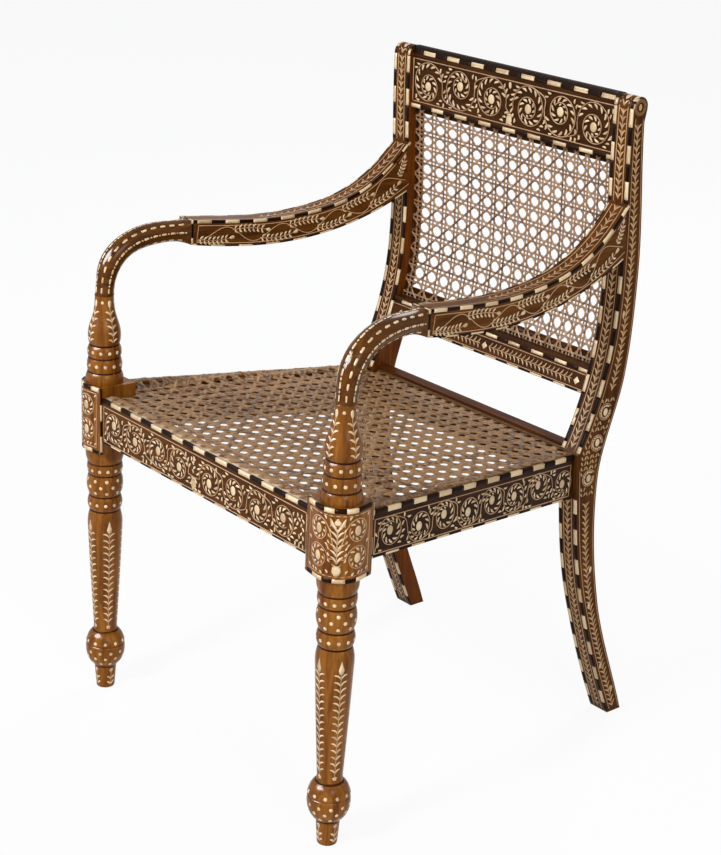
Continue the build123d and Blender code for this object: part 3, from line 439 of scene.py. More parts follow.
SEAT_CANE_FRONT = (6.1, 450.3)  # (y, height) of the cane's face at the front rail
SEAT_CANE_REAR = (433.6, 418.0)
# Middle of hole 0, spacing there, and the spacing's change from hole to hole
SEAT_HOLES_X = (214.5, 20.5, 0.0)
SEAT_HOLES_Y = (219.5, 21.6, 0.0)
BACK_HOLES_X = (-145.9, 26.5, -0.27)
BACK_HOLES_Z = (783.5, -20.2, -0.155)
SEAT_HOLE_SPANS = ((-24, 4), (-12, 12))  # first hole and the one after the last, each way
BACK_HOLE_SPANS = ((-4, 18), (-4, 14))
SEAT_REBATE = 12.0
SEAT_LAP = (26.0, 24.5)  # how far the weave reaches over the front and the side rails
SEAT_LAP_RISE = 0.9  # how far the strands that lap over the rails stand off their tops
SEAT_LAP_BLEND = 9.0
LAP_STRIP = (0.1, 0.5)  # underside and top of the strips there, off the rails' tops
BACK_REBATE = 8.0
EDGE_CLEARANCE = 1.5
LEDGE_WIDTH = 13.0
LEDGE_UNDER_CREST = 9.1
LEDGE_BEHIND = (1.9, 4.4)  # front and rear of the ledge, behind the cane's middle


def spaced(start, pitch, change):
    """Place of a hole from its number."""
    return lambda number: start + pitch * number + change * number * number


def on_line(at, start, end):
    """Second value of the line through two (first, second) pairs, where the first is `at`."""
    return start[1] + (at - start[0]) * (end[1] - start[1]) / (end[0] - start[0])


def side_rail_inner(y):
    return on_line(y, SIDE_RAIL_FRONT[1::-1], SIDE_RAIL_REAR[1::-1]) - SIDE_RAIL_THICKNESS


def seat_surface(places, height):
    """The seat's sheet, which laps over the rails' tops."""
    x, y = np.abs(places[:, 0]), places[:, 1]
    level = on_line(y, SEAT_CANE_FRONT, SEAT_CANE_REAR) - CANE_THICKNESS / 2
    side_top = on_line(y, SIDE_RAIL_FRONT[1:], SIDE_RAIL_REAR[1:]) + SEAT_LAP_RISE
    over_front = np.clip((SEAT_CANE_FRONT[0] - SEAT_REBATE + SEAT_LAP_BLEND - y) / SEAT_LAP_BLEND, 0, 1)
    over_side = np.clip((x - side_rail_inner(y) - SEAT_REBATE + SEAT_LAP_BLEND) / SEAT_LAP_BLEND, 0, 1)
    level = level + (side_top - level) * over_side
    level = level + (FRONT_RAIL_TOP + SEAT_LAP_RISE - level) * np.where(x < BLOCK_INNER_X, over_front, 0)
    return np.stack([places[:, 0], y, level + height], axis=1)


def seat_outline():
    """The weave's edge, which laps over the front and the side rails."""
    over_front, over_side = SEAT_LAP
    block_x, post_x = BLOCK_INNER_X - EDGE_CLEARANCE, POST_INNER_X - EDGE_CLEARANCE
    block_y, post_y = BLOCK_TO_REAR_FACE + EDGE_CLEARANCE, SIDE_RAIL_REAR[1] - EDGE_CLEARANCE
    right = [
        (block_x, SEAT_CANE_FRONT[0] - over_front),
        (block_x, block_y),
        (side_rail_inner(block_y) + over_side, block_y),
        (side_rail_inner(post_y) + over_side, post_y),
        (post_x, post_y),
        (post_x, SEAT_CANE_REAR[0] + SEAT_REBATE - EDGE_CLEARANCE),
    ]
    return right + [(-x, y) for x, y in reversed(right)]


def back_face(setback):
    """Surface set back from the posts' fronts: places are (x, height above the floor)."""

    def surface(places, height):
        front = np.array([hermite(POST_BACK_FRONT, z) for z in places[:, 1]])
        return np.stack([places[:, 0], front + setback - height, places[:, 1]], axis=1)

    return surface


back_cane_face = back_face(BACK_CANE_SETBACK + CANE_THICKNESS / 2)


def make_seat_cane():
    piece = Piece("seat_cane_weave", ["seat_strands"])
    x_of, y_of = spaced(*SEAT_HOLES_X), spaced(*SEAT_HOLES_Y)
    weave(piece, seat_surface, x_of, y_of, *SEAT_HOLE_SPANS, seat_outline(), SEAT_STRAND_WIDTH)
    made = piece.build()
    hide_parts("seat_cane")


def make_lap_strips():
    """Thin strips on the rails' tops, under the strands that lap over them. The front one is pale: painted
    light that stands for the lit floor seen through the holes.
    """
    piece = Piece("seat_lap_strips", ["lap_wood", "lap_painted_floor_light"])
    over_front, over_side = SEAT_LAP
    low, high = LAP_STRIP

    def strip(start, end, width, slot):
        """From start to end, and the width to the right of that."""
        way = (end - start) / np.linalg.norm(end - start)
        right = np.array([way[1], -way[0], 0.0])
        section = [(0, low), (width, low), (width, high), (0, high)]
        loops = [[place + right * out + (0, 0, up) for out, up in section] for place in (start, end)]
        piece.bar(np.array(loops), slot)

    other_side = (-1, 1, 1)
    front = np.array([BLOCK_INNER_X - EDGE_CLEARANCE, SEAT_CANE_FRONT[0] - over_front, FRONT_RAIL_TOP])
    # the front strip takes the pale painted light
    strip(front, front * other_side, over_front - SEAT_REBATE, 1)
    inset = np.array([SIDE_RAIL_THICKNESS - over_side, 0, 0])
    near, far = np.array(SIDE_RAIL_FRONT) - inset, np.array(SIDE_RAIL_REAR) - inset
    strip(far, near, over_side - SEAT_REBATE, 0)
    strip(near * other_side, far * other_side, over_side - SEAT_REBATE, 0)
    piece.build()


def make_back_cane():
    piece = Piece("back_cane_weave", ["back_strands"])
    reach = BACK_REBATE - EDGE_CLEARANCE
    x, low, high = POST_INNER_X + reach, LOWER_RAIL_TOP - reach, CREST_BOTTOM + reach
    outline = [(-x, low), (x, low), (x, high), (-x, high)]
    x_of, z_of = spaced(*BACK_HOLES_X), spaced(*BACK_HOLES_Z)
    weave(piece, back_cane_face, x_of, z_of, *BACK_HOLE_SPANS, outline, BACK_STRAND_WIDTH)
    made = piece.build()
    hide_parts("back_cane")


def make_back_ledge():
    """The dark ledge that shows through the cane along the opening's four edges."""
    piece = Piece("back_cane_ledge", ["plain_wood"])
    inner = POST_INNER_X - LEDGE_WIDTH
    front, rear = LEDGE_BEHIND
    sides = [
        (-POST_INNER_X, -inner, LOWER_RAIL_TOP, CREST_BOTTOM),
        (inner, POST_INNER_X, LOWER_RAIL_TOP, CREST_BOTTOM),
        (-inner, inner, LOWER_RAIL_TOP, LOWER_RAIL_TOP + LEDGE_WIDTH),
        (-inner, inner, CREST_BOTTOM - LEDGE_UNDER_CREST, CREST_BOTTOM),
    ]
    for x_from, x_to, low, high in sides:
        levels = np.linspace(low, high, max(2, int((high - low) / 10) + 1))
        corners = [(x_from, front), (x_to, front), (x_to, rear), (x_from, rear)]
        piece.bar(np.stack([back_cane_face(columns(x, levels), -behind) for x, behind in corners], axis=1))
    piece.build()


# ------------------------------------------------ surfaces that carry inlay
# A surface turns (n, 2) places in millimetres, and heights off it, into points.
class Track:
    """A curve to measure along: places and directions at distances from its start."""

    def __init__(self, points):
        self.points = np.array(points, float)
        steps = np.linalg.norm(np.diff(self.points, axis=0), axis=1)
        self.marks = np.concatenate([[0.0], np.cumsum(steps)])
        self.length = self.marks[-1]
        ways = np.gradient(self.points, self.marks, axis=0)
        self.ways = ways / np.linalg.norm(ways, axis=1)[:, None]

    def at(self, distance):
        place, way = (
            np.stack([np.interp(distance, self.marks, curve[:, i]) for i in range(3)], axis=-1)
            for curve in (self.points, self.ways)
        )
        return place, way / np.linalg.norm(way, axis=-1)[:, None]

    def where(self, axis, value):
        """Distance along at which a rising coordinate passes the value."""
        return float(np.interp(value, self.points[:, axis], self.marks))


def straight(start, end):
    return Track(np.linspace(start, end, 3))


def plane(origin, along, up):
    """Flat surface: places run along and up, heights out of it."""
    origin, along, up = (np.array(v, float) for v in (origin, along, up))
    out = np.cross(along, up)
    return lambda places, height: origin + places[:, :1] * along + places[:, 1:] * up + height[:, None] * out


def ruled(track, up):
    """Surface that a track sweeps along `up`: places are (along the track, along up)."""

    def surface(places, height):
        place, way = track.at(places[:, 0])
        return place + places[:, 1:] * up + height[:, None] * np.cross(way, up)

    return surface


def flanked(track, out):
    """Flat surface that holds a track: places are (along the track, to its left seen from outside)."""

    def surface(places, height):
        place, way = track.at(places[:, 0])
        return place + places[:, 1:] * np.cross(out, way) + height[:, None] * out

    return surface


def shifted(surface, start):
    """The same surface, measured from another start."""
    return lambda places, height: surface(places + start, height)


def unit(way):
    return way / np.linalg.norm(way)


def turn_of(angle):
    """The direction at an angle, or one for each angle."""
    return np.stack([np.cos(angle), np.sin(angle)], axis=-1)


class Skin:
    """The outside of a CAD node, found by rays, in millimetres."""

    def __init__(self, name):
        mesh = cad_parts[name].data
        points = [Vector(v.co) * 1000 + Vector((0, FRAME_ORIGIN_Y, 0)) for v in mesh.vertices]
        self.tree = BVHTree.FromPolygons(points, [p.vertices for p in mesh.polygons])

    def hit(self, start, way):
        return self.tree.ray_cast(Vector(start), Vector(way))[0]


MEASURED_STEP = 0.5
MEASURED_TURNS = (0.1, 1.2, 2.3)
RAY_START = 60.0


class Turned:
    """Outside of a turned node about the front leg's axis, between two levels."""

    def __init__(self, node, low, high):
        skin = Skin(node)
        self.levels = np.arange(low, high, MEASURED_STEP)
        self.radii = [max(self.measured(skin, z, turn) for turn in MEASURED_TURNS) for z in self.levels]

    def measured(self, skin, level, turn):
        way = np.array([math.cos(turn), math.sin(turn), 0.0])
        found = skin.hit(np.array([LEG_AXIS_X, 0, level]) + way * RAY_START, -way)
        return 0.0 if found is None else math.hypot(found[0] - LEG_AXIS_X, found[1])

    def radius(self, level):
        return np.interp(level, self.levels, self.radii)

    def facing(self, turn):
        """Surface centred on a direction: places are (level, millimetres round)."""

        def surface(places, height):
            level = places[:, 0]
            radius = self.radius(level)
            x, y = (turn_of(turn - places[:, 1] / radius) * (radius + height)[:, None]).T
            return np.stack([LEG_AXIS_X + x, y, level], axis=1)

        return surface


# ------------------------------------------------ drawing inlay
INLAY_PROUD = 0.12
INLAY_CROWN = 0.12  # and the further rise of a piece's middle
INLAY_DEPTH = 0.6
RIBBON_SECTION = [
    (-1, -INLAY_DEPTH),
    (1, -INLAY_DEPTH),
    (1, INLAY_PROUD),
    (0, INLAY_PROUD + INLAY_CROWN),
    (-1, INLAY_PROUD),
]
PLATE_ROWS = [(1.0, -INLAY_DEPTH), (1.0, INLAY_PROUD), (0.6, INLAY_PROUD + INLAY_CROWN)]
LINE_WIDTH = 1.15
STEM_WIDTH = 1.0
SCROLL_HALFWAY = 5.6  # angle at which a scroll's stem is halfway from the rim to the eye
SCROLL_CLOSING = 3.6  # the larger, the more suddenly it leaves the rim
SCROLL_END = 0.16  # room between the stem's end and the eye, as a share of the scroll's radius
LEAF_ROOM = (2.6, 10.5)  # least room that a scroll's leaf needs, and the most that it takes
OUTER_MARGINS = (1.3, 1.4, 1.5)  # kept from the field's edge, the other rings and the stems
OUTER_LEAF = (1.7, 6.6)  # from a ring to the foot and the tip of a leaf outside it
OUTER_SPACING = 6.6
FOOT_SPACING = (4.8, 4.4)  # from foot to foot outside the rings, and in the rest of the field
SCATTER_PITCH = 7.6
SCATTER_MARGINS = (3.0, 2.8)  # kept from the rings and the stems
# Width along a leaf, as a share of its greatest width
LEAF_STEPS = np.array([0.0, 0.3, 0.6, 0.85, 1.0])
LEAF_SHAPE = np.array([0.35, 0.9, 1.0, 0.62, 0.1])
DROP_SHAPE = np.array([0.12, 0.75, 1.0, 0.9, 0.3])
BUD_SHAPE = np.array([0.6, 1.0, 0.6, 0.25, 0.05])


def smooth(places, steps=7):
    """Curve through the places."""
    places = np.array(places, float)
    padded = np.concatenate([[2 * places[0] - places[1]], places, [2 * places[-1] - places[-2]]])
    t = np.linspace(0, 1, steps, endpoint=False)[:, None]
    made = [
        0.5 * (2 * b + (c - a) * t + (2 * a - 5 * b + 4 * c - d) * t**2 + (3 * b - a - 3 * c + d) * t**3)
        for a, b, c, d in zip(padded, padded[1:], padded[2:], padded[3:])
    ]
    return np.concatenate(made + [places[-1:]])


def bowed(base, tip, bend):
    """Place and direction on a bow from base to tip, as functions of the share of it that is past.
    bend pulls its middle to the left by that share of its length."""
    run = tip - base
    pull = (base + tip) / 2 + np.array([-run[1], run[0]]) * bend

    def place(t):
        return (1 - t) ** 2 * base + 2 * t * (1 - t) * pull + t**2 * tip

    def way(t):
        return unit((1 - t) * (pull - base) + t * (tip - pull))

    return place, way


class Inlay:
    """Draws inlaid shapes, given in millimetres on a surface, into a piece."""

    def __init__(self, piece, surface):
        self.piece = piece
        self.surface = surface

    def ribbon(self, places, widths, slot=BONE):
        """A strip along the places."""
        places = np.array(places, float)
        halves = np.broadcast_to(np.array(widths, float) / 2, len(places))
        way = np.gradient(places, axis=0)
        way /= np.linalg.norm(way, axis=1)[:, None]
        right = columns(way[:, 1], -way[:, 0]) * halves[:, None]
        loops = [self.surface(places + right * out, np.full(len(places), up)) for out, up in RIBBON_SECTION]
        self.piece.bar(np.stack(loops, axis=1), slot)

    def line(self, places, width=LINE_WIDTH):
        self.ribbon(places, width, LINE)

    def run(self, start, end, width=LINE_WIDTH, step=8.0, slot=LINE):
        """A straight strip, divided finely enough to follow a curved surface."""
        count = max(2, math.ceil(math.dist(start, end) / step) + 1)
        self.ribbon(np.linspace(start, end, count), width, slot)

    def along(self, start, end, v=0.0, width=LINE_WIDTH, slot=LINE, step=8.0):
        """A straight strip from one u to another."""
        self.run((start, v), (end, v), width, step, slot)

    def frame(self, low, high):
        """Thin line round a field."""
        corners = [(low[0], low[1]), (high[0], low[1]), (high[0], high[1]), (low[0], high[1])]
        for start, end in zip(corners, corners[1:] + corners[:1]):
            self.run(start, end)

    def plate(self, outline, slot=BONE):
        """A flat shape from its outline, listed anticlockwise."""
        outline = np.array(outline, float)[::-1]
        middle = outline.mean(axis=0)
        loops = [
            self.surface(middle + (outline - middle) * share, np.full(len(outline), height))
            for share, height in PLATE_ROWS
        ]
        self.piece.bar(np.stack(loops), slot)

    def oval(self, middle, reach_u, reach_v, sides=14, slot=BONE):
        angle = np.linspace(0, 2 * math.pi, sides, endpoint=False)
        self.plate(np.array(middle) + turn_of(angle) * (reach_u, reach_v), slot)

    def leaf(self, base, tip, width, bend, shape=LEAF_SHAPE, slot=BONE):
        """A curved leaf; bend pulls its middle to the left by that share of its length."""
        place, _ = bowed(np.array(base, float), np.array(tip, float), bend)
        self.ribbon(place(LEAF_STEPS[:, None]), shape * width, slot)

    def bud(self, base, tip, width, shape=DROP_SHAPE):
        self.leaf(base, tip, width, 0.0, shape)

    def pair(self, foot, rise, reach, width, bend, root=0.6, slot=BONE):
        """Two leaves that spread to both sides of the line v = 0, from u = foot."""
        for side in (1, -1):
            self.leaf((foot, root * side), (foot + rise, reach * side), width, bend * side, slot=slot)

    def star(self, middle, reach):
        """Five small petals."""
        for angle in np.linspace(0, 2 * math.pi, 5, endpoint=False):
            away = turn_of(angle)
            self.leaf(middle + away * 0.3, middle + away * reach, 2.4, 0.0)

    def scroll(self, rim, eye, radius, start, hand, turns, eye_reach, spacing):
        """A stem that runs round the rim, winds in to an oval eye and has leaves on its inside."""
        rim, eye = np.array(rim, float), np.array(eye, float)
        end = max(eye_reach) + SCROLL_END * radius
        total = 2 * math.pi * turns
        least, most = LEAF_ROOM

        def reach_at(angle):
            return end + (radius - end) / (1 + (angle / SCROLL_HALFWAY) ** SCROLL_CLOSING)

        def place(angle, inward=0.0):
            reach = reach_at(angle)
            share = (radius - reach) / (radius - end)
            return rim + (eye - rim) * share + turn_of(start + hand * angle) * (reach - inward)

        self.line([place(a) for a in np.linspace(0, total, int(30 * turns) + 1)])
        self.oval(eye, *eye_reach)
        angle = 0.25
        while angle < total - 0.35:
            later = angle + 2 * math.pi
            inner = reach_at(later) if later < total else max(eye_reach)
            reach = reach_at(angle)
            room = min(reach - inner, most)
            if room > least:
                tip = place(angle + 0.75 * room / reach, room * 0.7)
                self.leaf(place(angle, 1.9), tip, 1.2 + 0.17 * room, -0.25 * hand)
            angle += spacing * (0.5 + 0.5 * room / most) / reach

    def outside_leaves(self, low, high, rings, taken):
        """Leaves that grow outwards from each ring, where there is room for them. Gives their ends."""
        feet = []
        at_edge, at_ring, at_stem = OUTER_MARGINS
        for ring, radius in rings:
            for angle in np.arange(0.2, 2 * math.pi, OUTER_SPACING / radius):
                foot = ring + turn_of(angle) * (radius + OUTER_LEAF[0])
                tip = ring + turn_of(angle + 3.6 / radius) * (radius + OUTER_LEAF[1])
                ends = np.array([foot, (foot + tip) / 2, tip])
                within = (ends > low + at_edge).all() and (ends < high - at_edge).all()
                clear = all(
                    np.linalg.norm(ends - other, axis=1).min() > reach + at_ring
                    for other, reach in rings
                    if other is not ring
                )
                free = np.linalg.norm(ends[:, None] - taken, axis=2).min() > at_stem
                apart = all(math.dist(foot, other) > FOOT_SPACING[0] for other in feet)
                if within and clear and free and apart:
                    self.leaf(foot, tip, 2.7, 0.35)
                    feet.extend([foot, tip])
        return feet

    def scatter(self, low, high, rings, stems):
        """Small leaves wherever a field is still free, lying along the nearest ring."""
        taken = np.concatenate(stems)
        feet = self.outside_leaves(low, high, rings, taken)
        for number, v in enumerate(np.arange(low[1] + 2.8, high[1] - 2.4, SCATTER_PITCH * 0.72)):
            hand = 1 if number % 2 else -1
            for u in np.arange(low[0] + 3.0 + (number % 2) * SCATTER_PITCH / 2, high[0] - 2.6, SCATTER_PITCH):
                gaps = [math.dist((u, v), middle) - radius for middle, radius in rings]
                nearest = int(np.argmin(gaps))
                gap = np.linalg.norm(taken - (u, v), axis=1).min()
                if gaps[nearest] < SCATTER_MARGINS[0] or gap < SCATTER_MARGINS[1]:
                    continue
                if any(math.dist((u, v), foot) < FOOT_SPACING[1] for foot in feet):
                    continue
                out = unit(np.array([u, v]) - rings[nearest][0])
                way = np.array([-out[1], out[0]]) * hand * 2.5 + out * 1.6
                self.leaf((u, v) - way, (u, v) + way, 2.9, -0.35 * hand)

    def chevrons(self, start, end, pitch, reach, rise, width, slot):
        """A stem along the line v = 0 with pairs of leaves that point up it."""
        self.along(start, end, width=STEM_WIDTH)
        count = max(1, round((end - start) / pitch))
        for k in range(count):
            self.pair(start + (k + 0.15) * (end - start) / count, rise, reach, width, -0.3, 0.5, slot)

    def spray(self, base, tip, bend, pairs, reach):
        """A fern-like twig with leaf pairs and a bud at its tip."""
        base, tip = np.array(base, float), np.array(tip, float)
        place, way_at = bowed(base, tip, bend)
        self.line(place(np.linspace(0, 1, 9)[:, None]), STEM_WIDTH)
        for k in range(pairs):
            share = (k + 0.45) / (pairs + 0.5)
            foot, way = place(share), way_at(share)
            for hand in (1, -1):
                side = np.array([-way[1], way[0]]) * hand
                spread = way * reach * 0.62 + side * reach * 0.78
                self.leaf(foot + side * 0.5, foot + spread, 2.7, 0.22 * hand)
        way = way_at(1.0)
        self.bud(tip - way, tip + way * min(7.5, np.linalg.norm(tip - base) * 0.22), 5.0)

    def vase(self, middle, foot, size):
        """A small vase, whose foot is at the height given."""
        half = size * 0.36
        profile = [(0.45, 0.0), (1.0, 0.35), (0.9, 0.7), (0.62, 0.82), (1.1, 1.0)]
        right = [(middle + half * x, foot + size * y) for x, y in profile]
        left = [(middle - half * x, foot + size * y) for x, y in reversed(profile)]
        self.plate(right + left)


DASH_PITCH = 48.0
DASH_FACE = 5.3  # width of an edging strip on the face that carries the ornament
DASH_EDGE = 1.4  # and on the other face of the arris
LEAST_DASH = 0.8


def dashes(anchor, pitch, start, end):
    """(from, to, slot) of bone and ebony bars in turn; a bone's middle is at the anchor."""
    for k in range(math.floor((start - anchor) / pitch) - 1, math.ceil((end - anchor) / pitch) + 1):
        for shift, slot in ((0.0, BONE), (0.5, EBONY)):
            middle = anchor + (k + shift) * pitch
            low, high = max(middle - pitch / 4, start), min(middle + pitch / 4, end)
            if high - low > LEAST_DASH:
                yield low, high, slot


def edge_bar(piece, track, face, edge, widths, low, high, slot):
    """One bar let into an arris. face(way) and edge(way) point from it into its two faces."""
    corners = [(-INLAY_PROUD, -INLAY_PROUD), (widths[0], -INLAY_PROUD), widths, (-INLAY_PROUD, widths[1])]
    place, way = track.at(np.linspace(low, high, max(2, math.ceil((high - low) / 5) + 1)))
    a, b = (np.broadcast_to(side(way), way.shape) for side in (face, edge))
    loops = np.stack([place + a * across + b * into for across, into in corners], axis=1)
    if np.dot(np.cross(a[0], b[0]), way[0]) > 0:
        loops = loops[:, ::-1]
    piece.bar(loops, slot)


def edging(piece, track, face, edge, anchor, pitch=DASH_PITCH, widths=(DASH_FACE, DASH_EDGE)):
    """Bone and ebony bars in turn along an arris; a bone's middle is at the anchor."""
    for low, high, slot in dashes(anchor, pitch, 0.0, track.length):
        edge_bar(piece, track, face, edge, widths, low, high, slot)


def fixed(direction):
    """A direction that is the same all along a track."""
    return lambda way: direction


def square_to(direction):
    """A direction square to the track and to the one given."""
    return lambda way: np.cross(way, direction)


def make_inlay(name, draw):
    """One inlaid piece, and its mirror image where the name says left."""
    piece = Piece(name, INLAY_SLOTS)
    draw(piece)
    pieces = [piece]
    if name.endswith("left"):
        pieces.append(piece.mirrored(name.replace("left", "right")))
    for each in pieces:
        each.build()


# ------------------------------------------------ rails
# Scroll eyes of the rails: (along, from the field's middle)
FRONT_EYES = (
    [(23.2, -4.9), (74.3, 3.0), (124.4, -5.1), (176.4, 2.6)],
    [(-43.2, -3.8), (-91.3, 2.8), (-145.4, -1.9), (-196.3, 4.9)],
)
SIDE_EYES = (
    [
        (32.0, 3.6),
        (86.3, -2.3),
        (133.5, 4.1),
        (181.5, -2.7),
        (229.4, 4.4),
        (275.7, 1.0),
        (326.4, 6.9),
        (380.6, -1.8),
    ],
)
CREST_EYES = ([(38.5, -2.0), (98.8, 5.1), (160.0, -4.1)], [(-33.3, -1.0), (-96.8, 5.5), (-163.2, -5.7)])
FRONT_SCROLLS = {"radius": 21.4, "turns": 1.35, "eye_reach": (5.1, 6.2), "spacing": 11.4}
SIDE_SCROLLS = FRONT_SCROLLS | {"eye_reach": (5.2, 6.3)}
CREST_SCROLLS = {"radius": 29.6, "turns": 1.9, "eye_reach": (5.8, 6.6), "spacing": 12.6}
FIELD_INSET = 0.6  # from the thin line round a field to its ornament
# The fields' lowest and highest place, and how far their ends are from the rails' shown ends
FRONT_FIELD = (393.6, 443.6, 3.4)
CREST_FIELD = (819.8, 880.5, 2.6)
SIDE_FIELD = (-57.5, -12.5)
SIDE_FIELD_ENDS = (4.0, 7.0)
# Where the vase stands, how far the vines' root and the vase's foot are above the field's lower edge,
# the vase's size, and the ends of the bud above it, from the field's upper edge
FRONT_VASE = {"middle": -10.5, "root": 18.0, "foot": 1.4, "size": 16.0, "bud": ((0.0, -13.0), (0.0, -3.5))}
CREST_VASE = {"middle": 3.0, "root": 16.0, "foot": 1.6, "size": 14.0, "bud": ((-1.0, -11.0), (-1.4, -2.0))}
BLOCK_GAP = 0.6  # between the front rail's inlay and the block
POST_GAP = 0.5
SIDE_EDGE_ENDS = (0.002, 0.006)  # left free at each end of the side rail, as a share of its length
SIDE_ANCHOR = 38.0
CREST_ANCHORS = (-15.0, 3.4)  # a bone's middle on the brow, and past the end of the lower arris
CREST_PITCHES = (49.4, 48.6)
CREST_BROW = (-0.6, 1.4, 3.4)  # rows of the bars on the crest's round
CREST_CAP = (5.8, 8.2, 10.6, 13.0, 15.4, 17.8)  # and of the dark band above them
LOWER_ANCHORS = (11.5, 20.0)  # a bone's middle on the upper bars, and past the end of the lower arris
LOWER_PITCH = 45.4
LOWER_LINES = (518.4, 498.0)
LOWER_BARS = 523.4
LOWER_MIDDLE = 508.0
LOWER_LOZENGES = [-178.0, 2.7, 183.5]
LOZENGE = [(-5.0, 507.0), (0.0, 502.0), (5.8, 507.4), (0.0, 512.8)]
LOZENGE_ROOM = (9.0, 8.0)  # kept free before and after one
LEAST_CHEVRONS = 12.0
# Pitch, reach, rise and width of the leaf pairs on a stem, and their slot
LOWER_CHEVRONS = (8.2, 7.2, 5.6, 2.0, LEAF)


def scroll_field(inlay, low, high, root, chains, radius, **form):
    """Running scrolls in a framed field. Each chain of eyes starts from the root."""
    inlay.frame(low, high)
    low, high = np.array(low) + FIELD_INSET, np.array(high) - FIELD_INSET
    middle = (low[1] + high[1]) / 2
    rings, stems = [], []
    for eyes in chains:
        away = 1 if eyes[0][0] > root[0] else -1
        rise, previous = 1, None
        for u, off in eyes:
            rim = np.array([u, middle + off * 0.25])
            start, hand = (math.pi if away > 0 else 0.0), -rise * away
            joined = rim + turn_of(start) * radius
            if previous is None:
                last = rim + turn_of(start - 0.2 * hand) * radius
                stem = smooth([root, (np.array(root) + last) / 2 + (away * 0.8, 0), last, joined])
            else:
                leave = previous + turn_of(-rise * math.pi / 2 + rise * away * 0.25) * radius
                between = np.array([(previous[0] + rim[0]) / 2, middle - rise * radius * 0.62])
                stem = smooth([leave, between, joined])
            inlay.line(stem)
            stems.append(stem)
            inlay.scroll(rim, (u, middle + off), radius, start, hand, **form)
            rings.append((rim, radius))
            rise, previous = -rise, rim
    inlay.scatter(low, high, rings, stems)


def parted_vines(inlay, field, reach, eyes, scrolls, middle, root, foot, size, bud):
    """Two vines that part from a vase, and a bud above it."""
    low, high, ends = field
    scroll_field(inlay, (-reach + ends, low), (reach - ends, high), (middle, low + root), eyes, **scrolls)
    inlay.vase(middle, low + foot, size)
    inlay.bud(*((middle + u, high + v) for u, v in bud), 4.6)


def front_rail(piece):
    inlay = Inlay(piece, plane(Y * FRONT_RAIL_Y, X, Z))
    reach = BLOCK_INNER_X - BLOCK_GAP
    parted_vines(inlay, FRONT_FIELD, reach, FRONT_EYES, FRONT_SCROLLS, **FRONT_VASE)
    for level, into, widths in ((FRONT_RAIL_TOP, -Z, (DASH_FACE, 3.5)), (FRONT_RAIL_BOTTOM, Z, (1.9, 4.0))):
        arris = straight((-reach, FRONT_RAIL_Y, level), (reach, FRONT_RAIL_Y, level))
        edging(piece, arris, fixed(into), fixed(Y), reach, widths=widths)


def side_rail(piece):
    start, end = np.array(SIDE_RAIL_FRONT), np.array(SIDE_RAIL_REAR)
    run = end - start
    length = math.hypot(run[0], run[1])
    inlay = Inlay(piece, plane(start, run / length, Z))
    low, high = (SIDE_FIELD_ENDS[0], SIDE_FIELD[0]), (length - SIDE_FIELD_ENDS[1], SIDE_FIELD[1])
    scroll_field(inlay, low, high, np.array(low) + FIELD_INSET, SIDE_EYES, **SIDE_SCROLLS)
    inward = fixed(np.cross(Z, run / length))
    near, far = start + run * SIDE_EDGE_ENDS[0], end - run * SIDE_EDGE_ENDS[1]
    for drop, into, widths in ((0.0, -Z, (DASH_FACE + 1.0, 3.5)), (SIDE_RAIL_HEIGHT, Z, (2.6, 3.5))):
        arris = straight(near - Z * drop, far - Z * drop)
        edging(piece, arris, fixed(into), inward, SIDE_ANCHOR, widths=widths)


def back_arris(height, setback, reach):
    y = hermite(POST_BACK_FRONT, height) + setback
    return straight((-reach, y, height), (reach, y, height))


def crest_brow(places, height):
    """The crest rail's rounded top: places are (x, arc length up from where the round springs)."""
    radius = CREST_THICKNESS / 2
    spring = CREST_TOP - radius
    front = hermite(POST_BACK_FRONT, spring) + CREST_SETBACK
    out, up = (turn_of(places[:, 1] / radius) * (radius + height)[:, None]).T
    return np.stack([places[:, 0], front + radius - out, spring + up], axis=1)


def crest_rail(piece):
    inlay = Inlay(piece, back_face(CREST_SETBACK))
    reach = POST_INNER_X - POST_GAP
    parted_vines(inlay, CREST_FIELD, reach, CREST_EYES, CREST_SCROLLS, **CREST_VASE)
    brow = Inlay(piece, crest_brow)
    for start, end, slot in dashes(CREST_ANCHORS[0], CREST_PITCHES[0], -reach, reach):
        for level in CREST_BROW:
            brow.along(start, end, level, 2.0, slot)
    for level in CREST_CAP:
        brow.along(-reach, reach, level, 2.4, EBONY)
    bottom = back_arris(CREST_BOTTOM, CREST_SETBACK, reach)
    edging(piece, bottom, fixed(Z), fixed(Y), reach + CREST_ANCHORS[1], CREST_PITCHES[1])


def lower_rail(piece):
    inlay = Inlay(piece, back_face(LOWER_RAIL_SETBACK))
    reach = POST_INNER_X - POST_GAP
    for start, end, slot in dashes(LOWER_ANCHORS[0], LOWER_PITCH, -reach, reach):
        inlay.along(start, end, LOWER_BARS, 4.4, slot)
    for level in LOWER_LINES:
        inlay.along(-reach, reach, level)
    for u in LOWER_LOZENGES:
        inlay.plate([(u + along, level) for along, level in LOZENGE])
    starts = [-reach + 1.0] + [u + LOZENGE_ROOM[1] for u in LOWER_LOZENGES]
    ends = [u - LOZENGE_ROOM[0] for u in LOWER_LOZENGES] + [reach - 1.0]
    middle = Inlay(piece, shifted(inlay.surface, (0, LOWER_MIDDLE)))
    for start, end in zip(starts, ends):
        if end - start > LEAST_CHEVRONS:
            middle.chevrons(start, end, *LOWER_CHEVRONS)
    bottom = back_arris(LOWER_RAIL_BOTTOM, LOWER_RAIL_SETBACK, reach)
    edging(piece, bottom, fixed(Z), fixed(Y), reach + LOWER_ANCHORS[1], LOWER_PITCH, (2.2, 4.0))


# ------------------------------------------------ blocks
# Places on the block's face are measured across from its middle and up from its top.
BLOCK_BORDER = 8.4
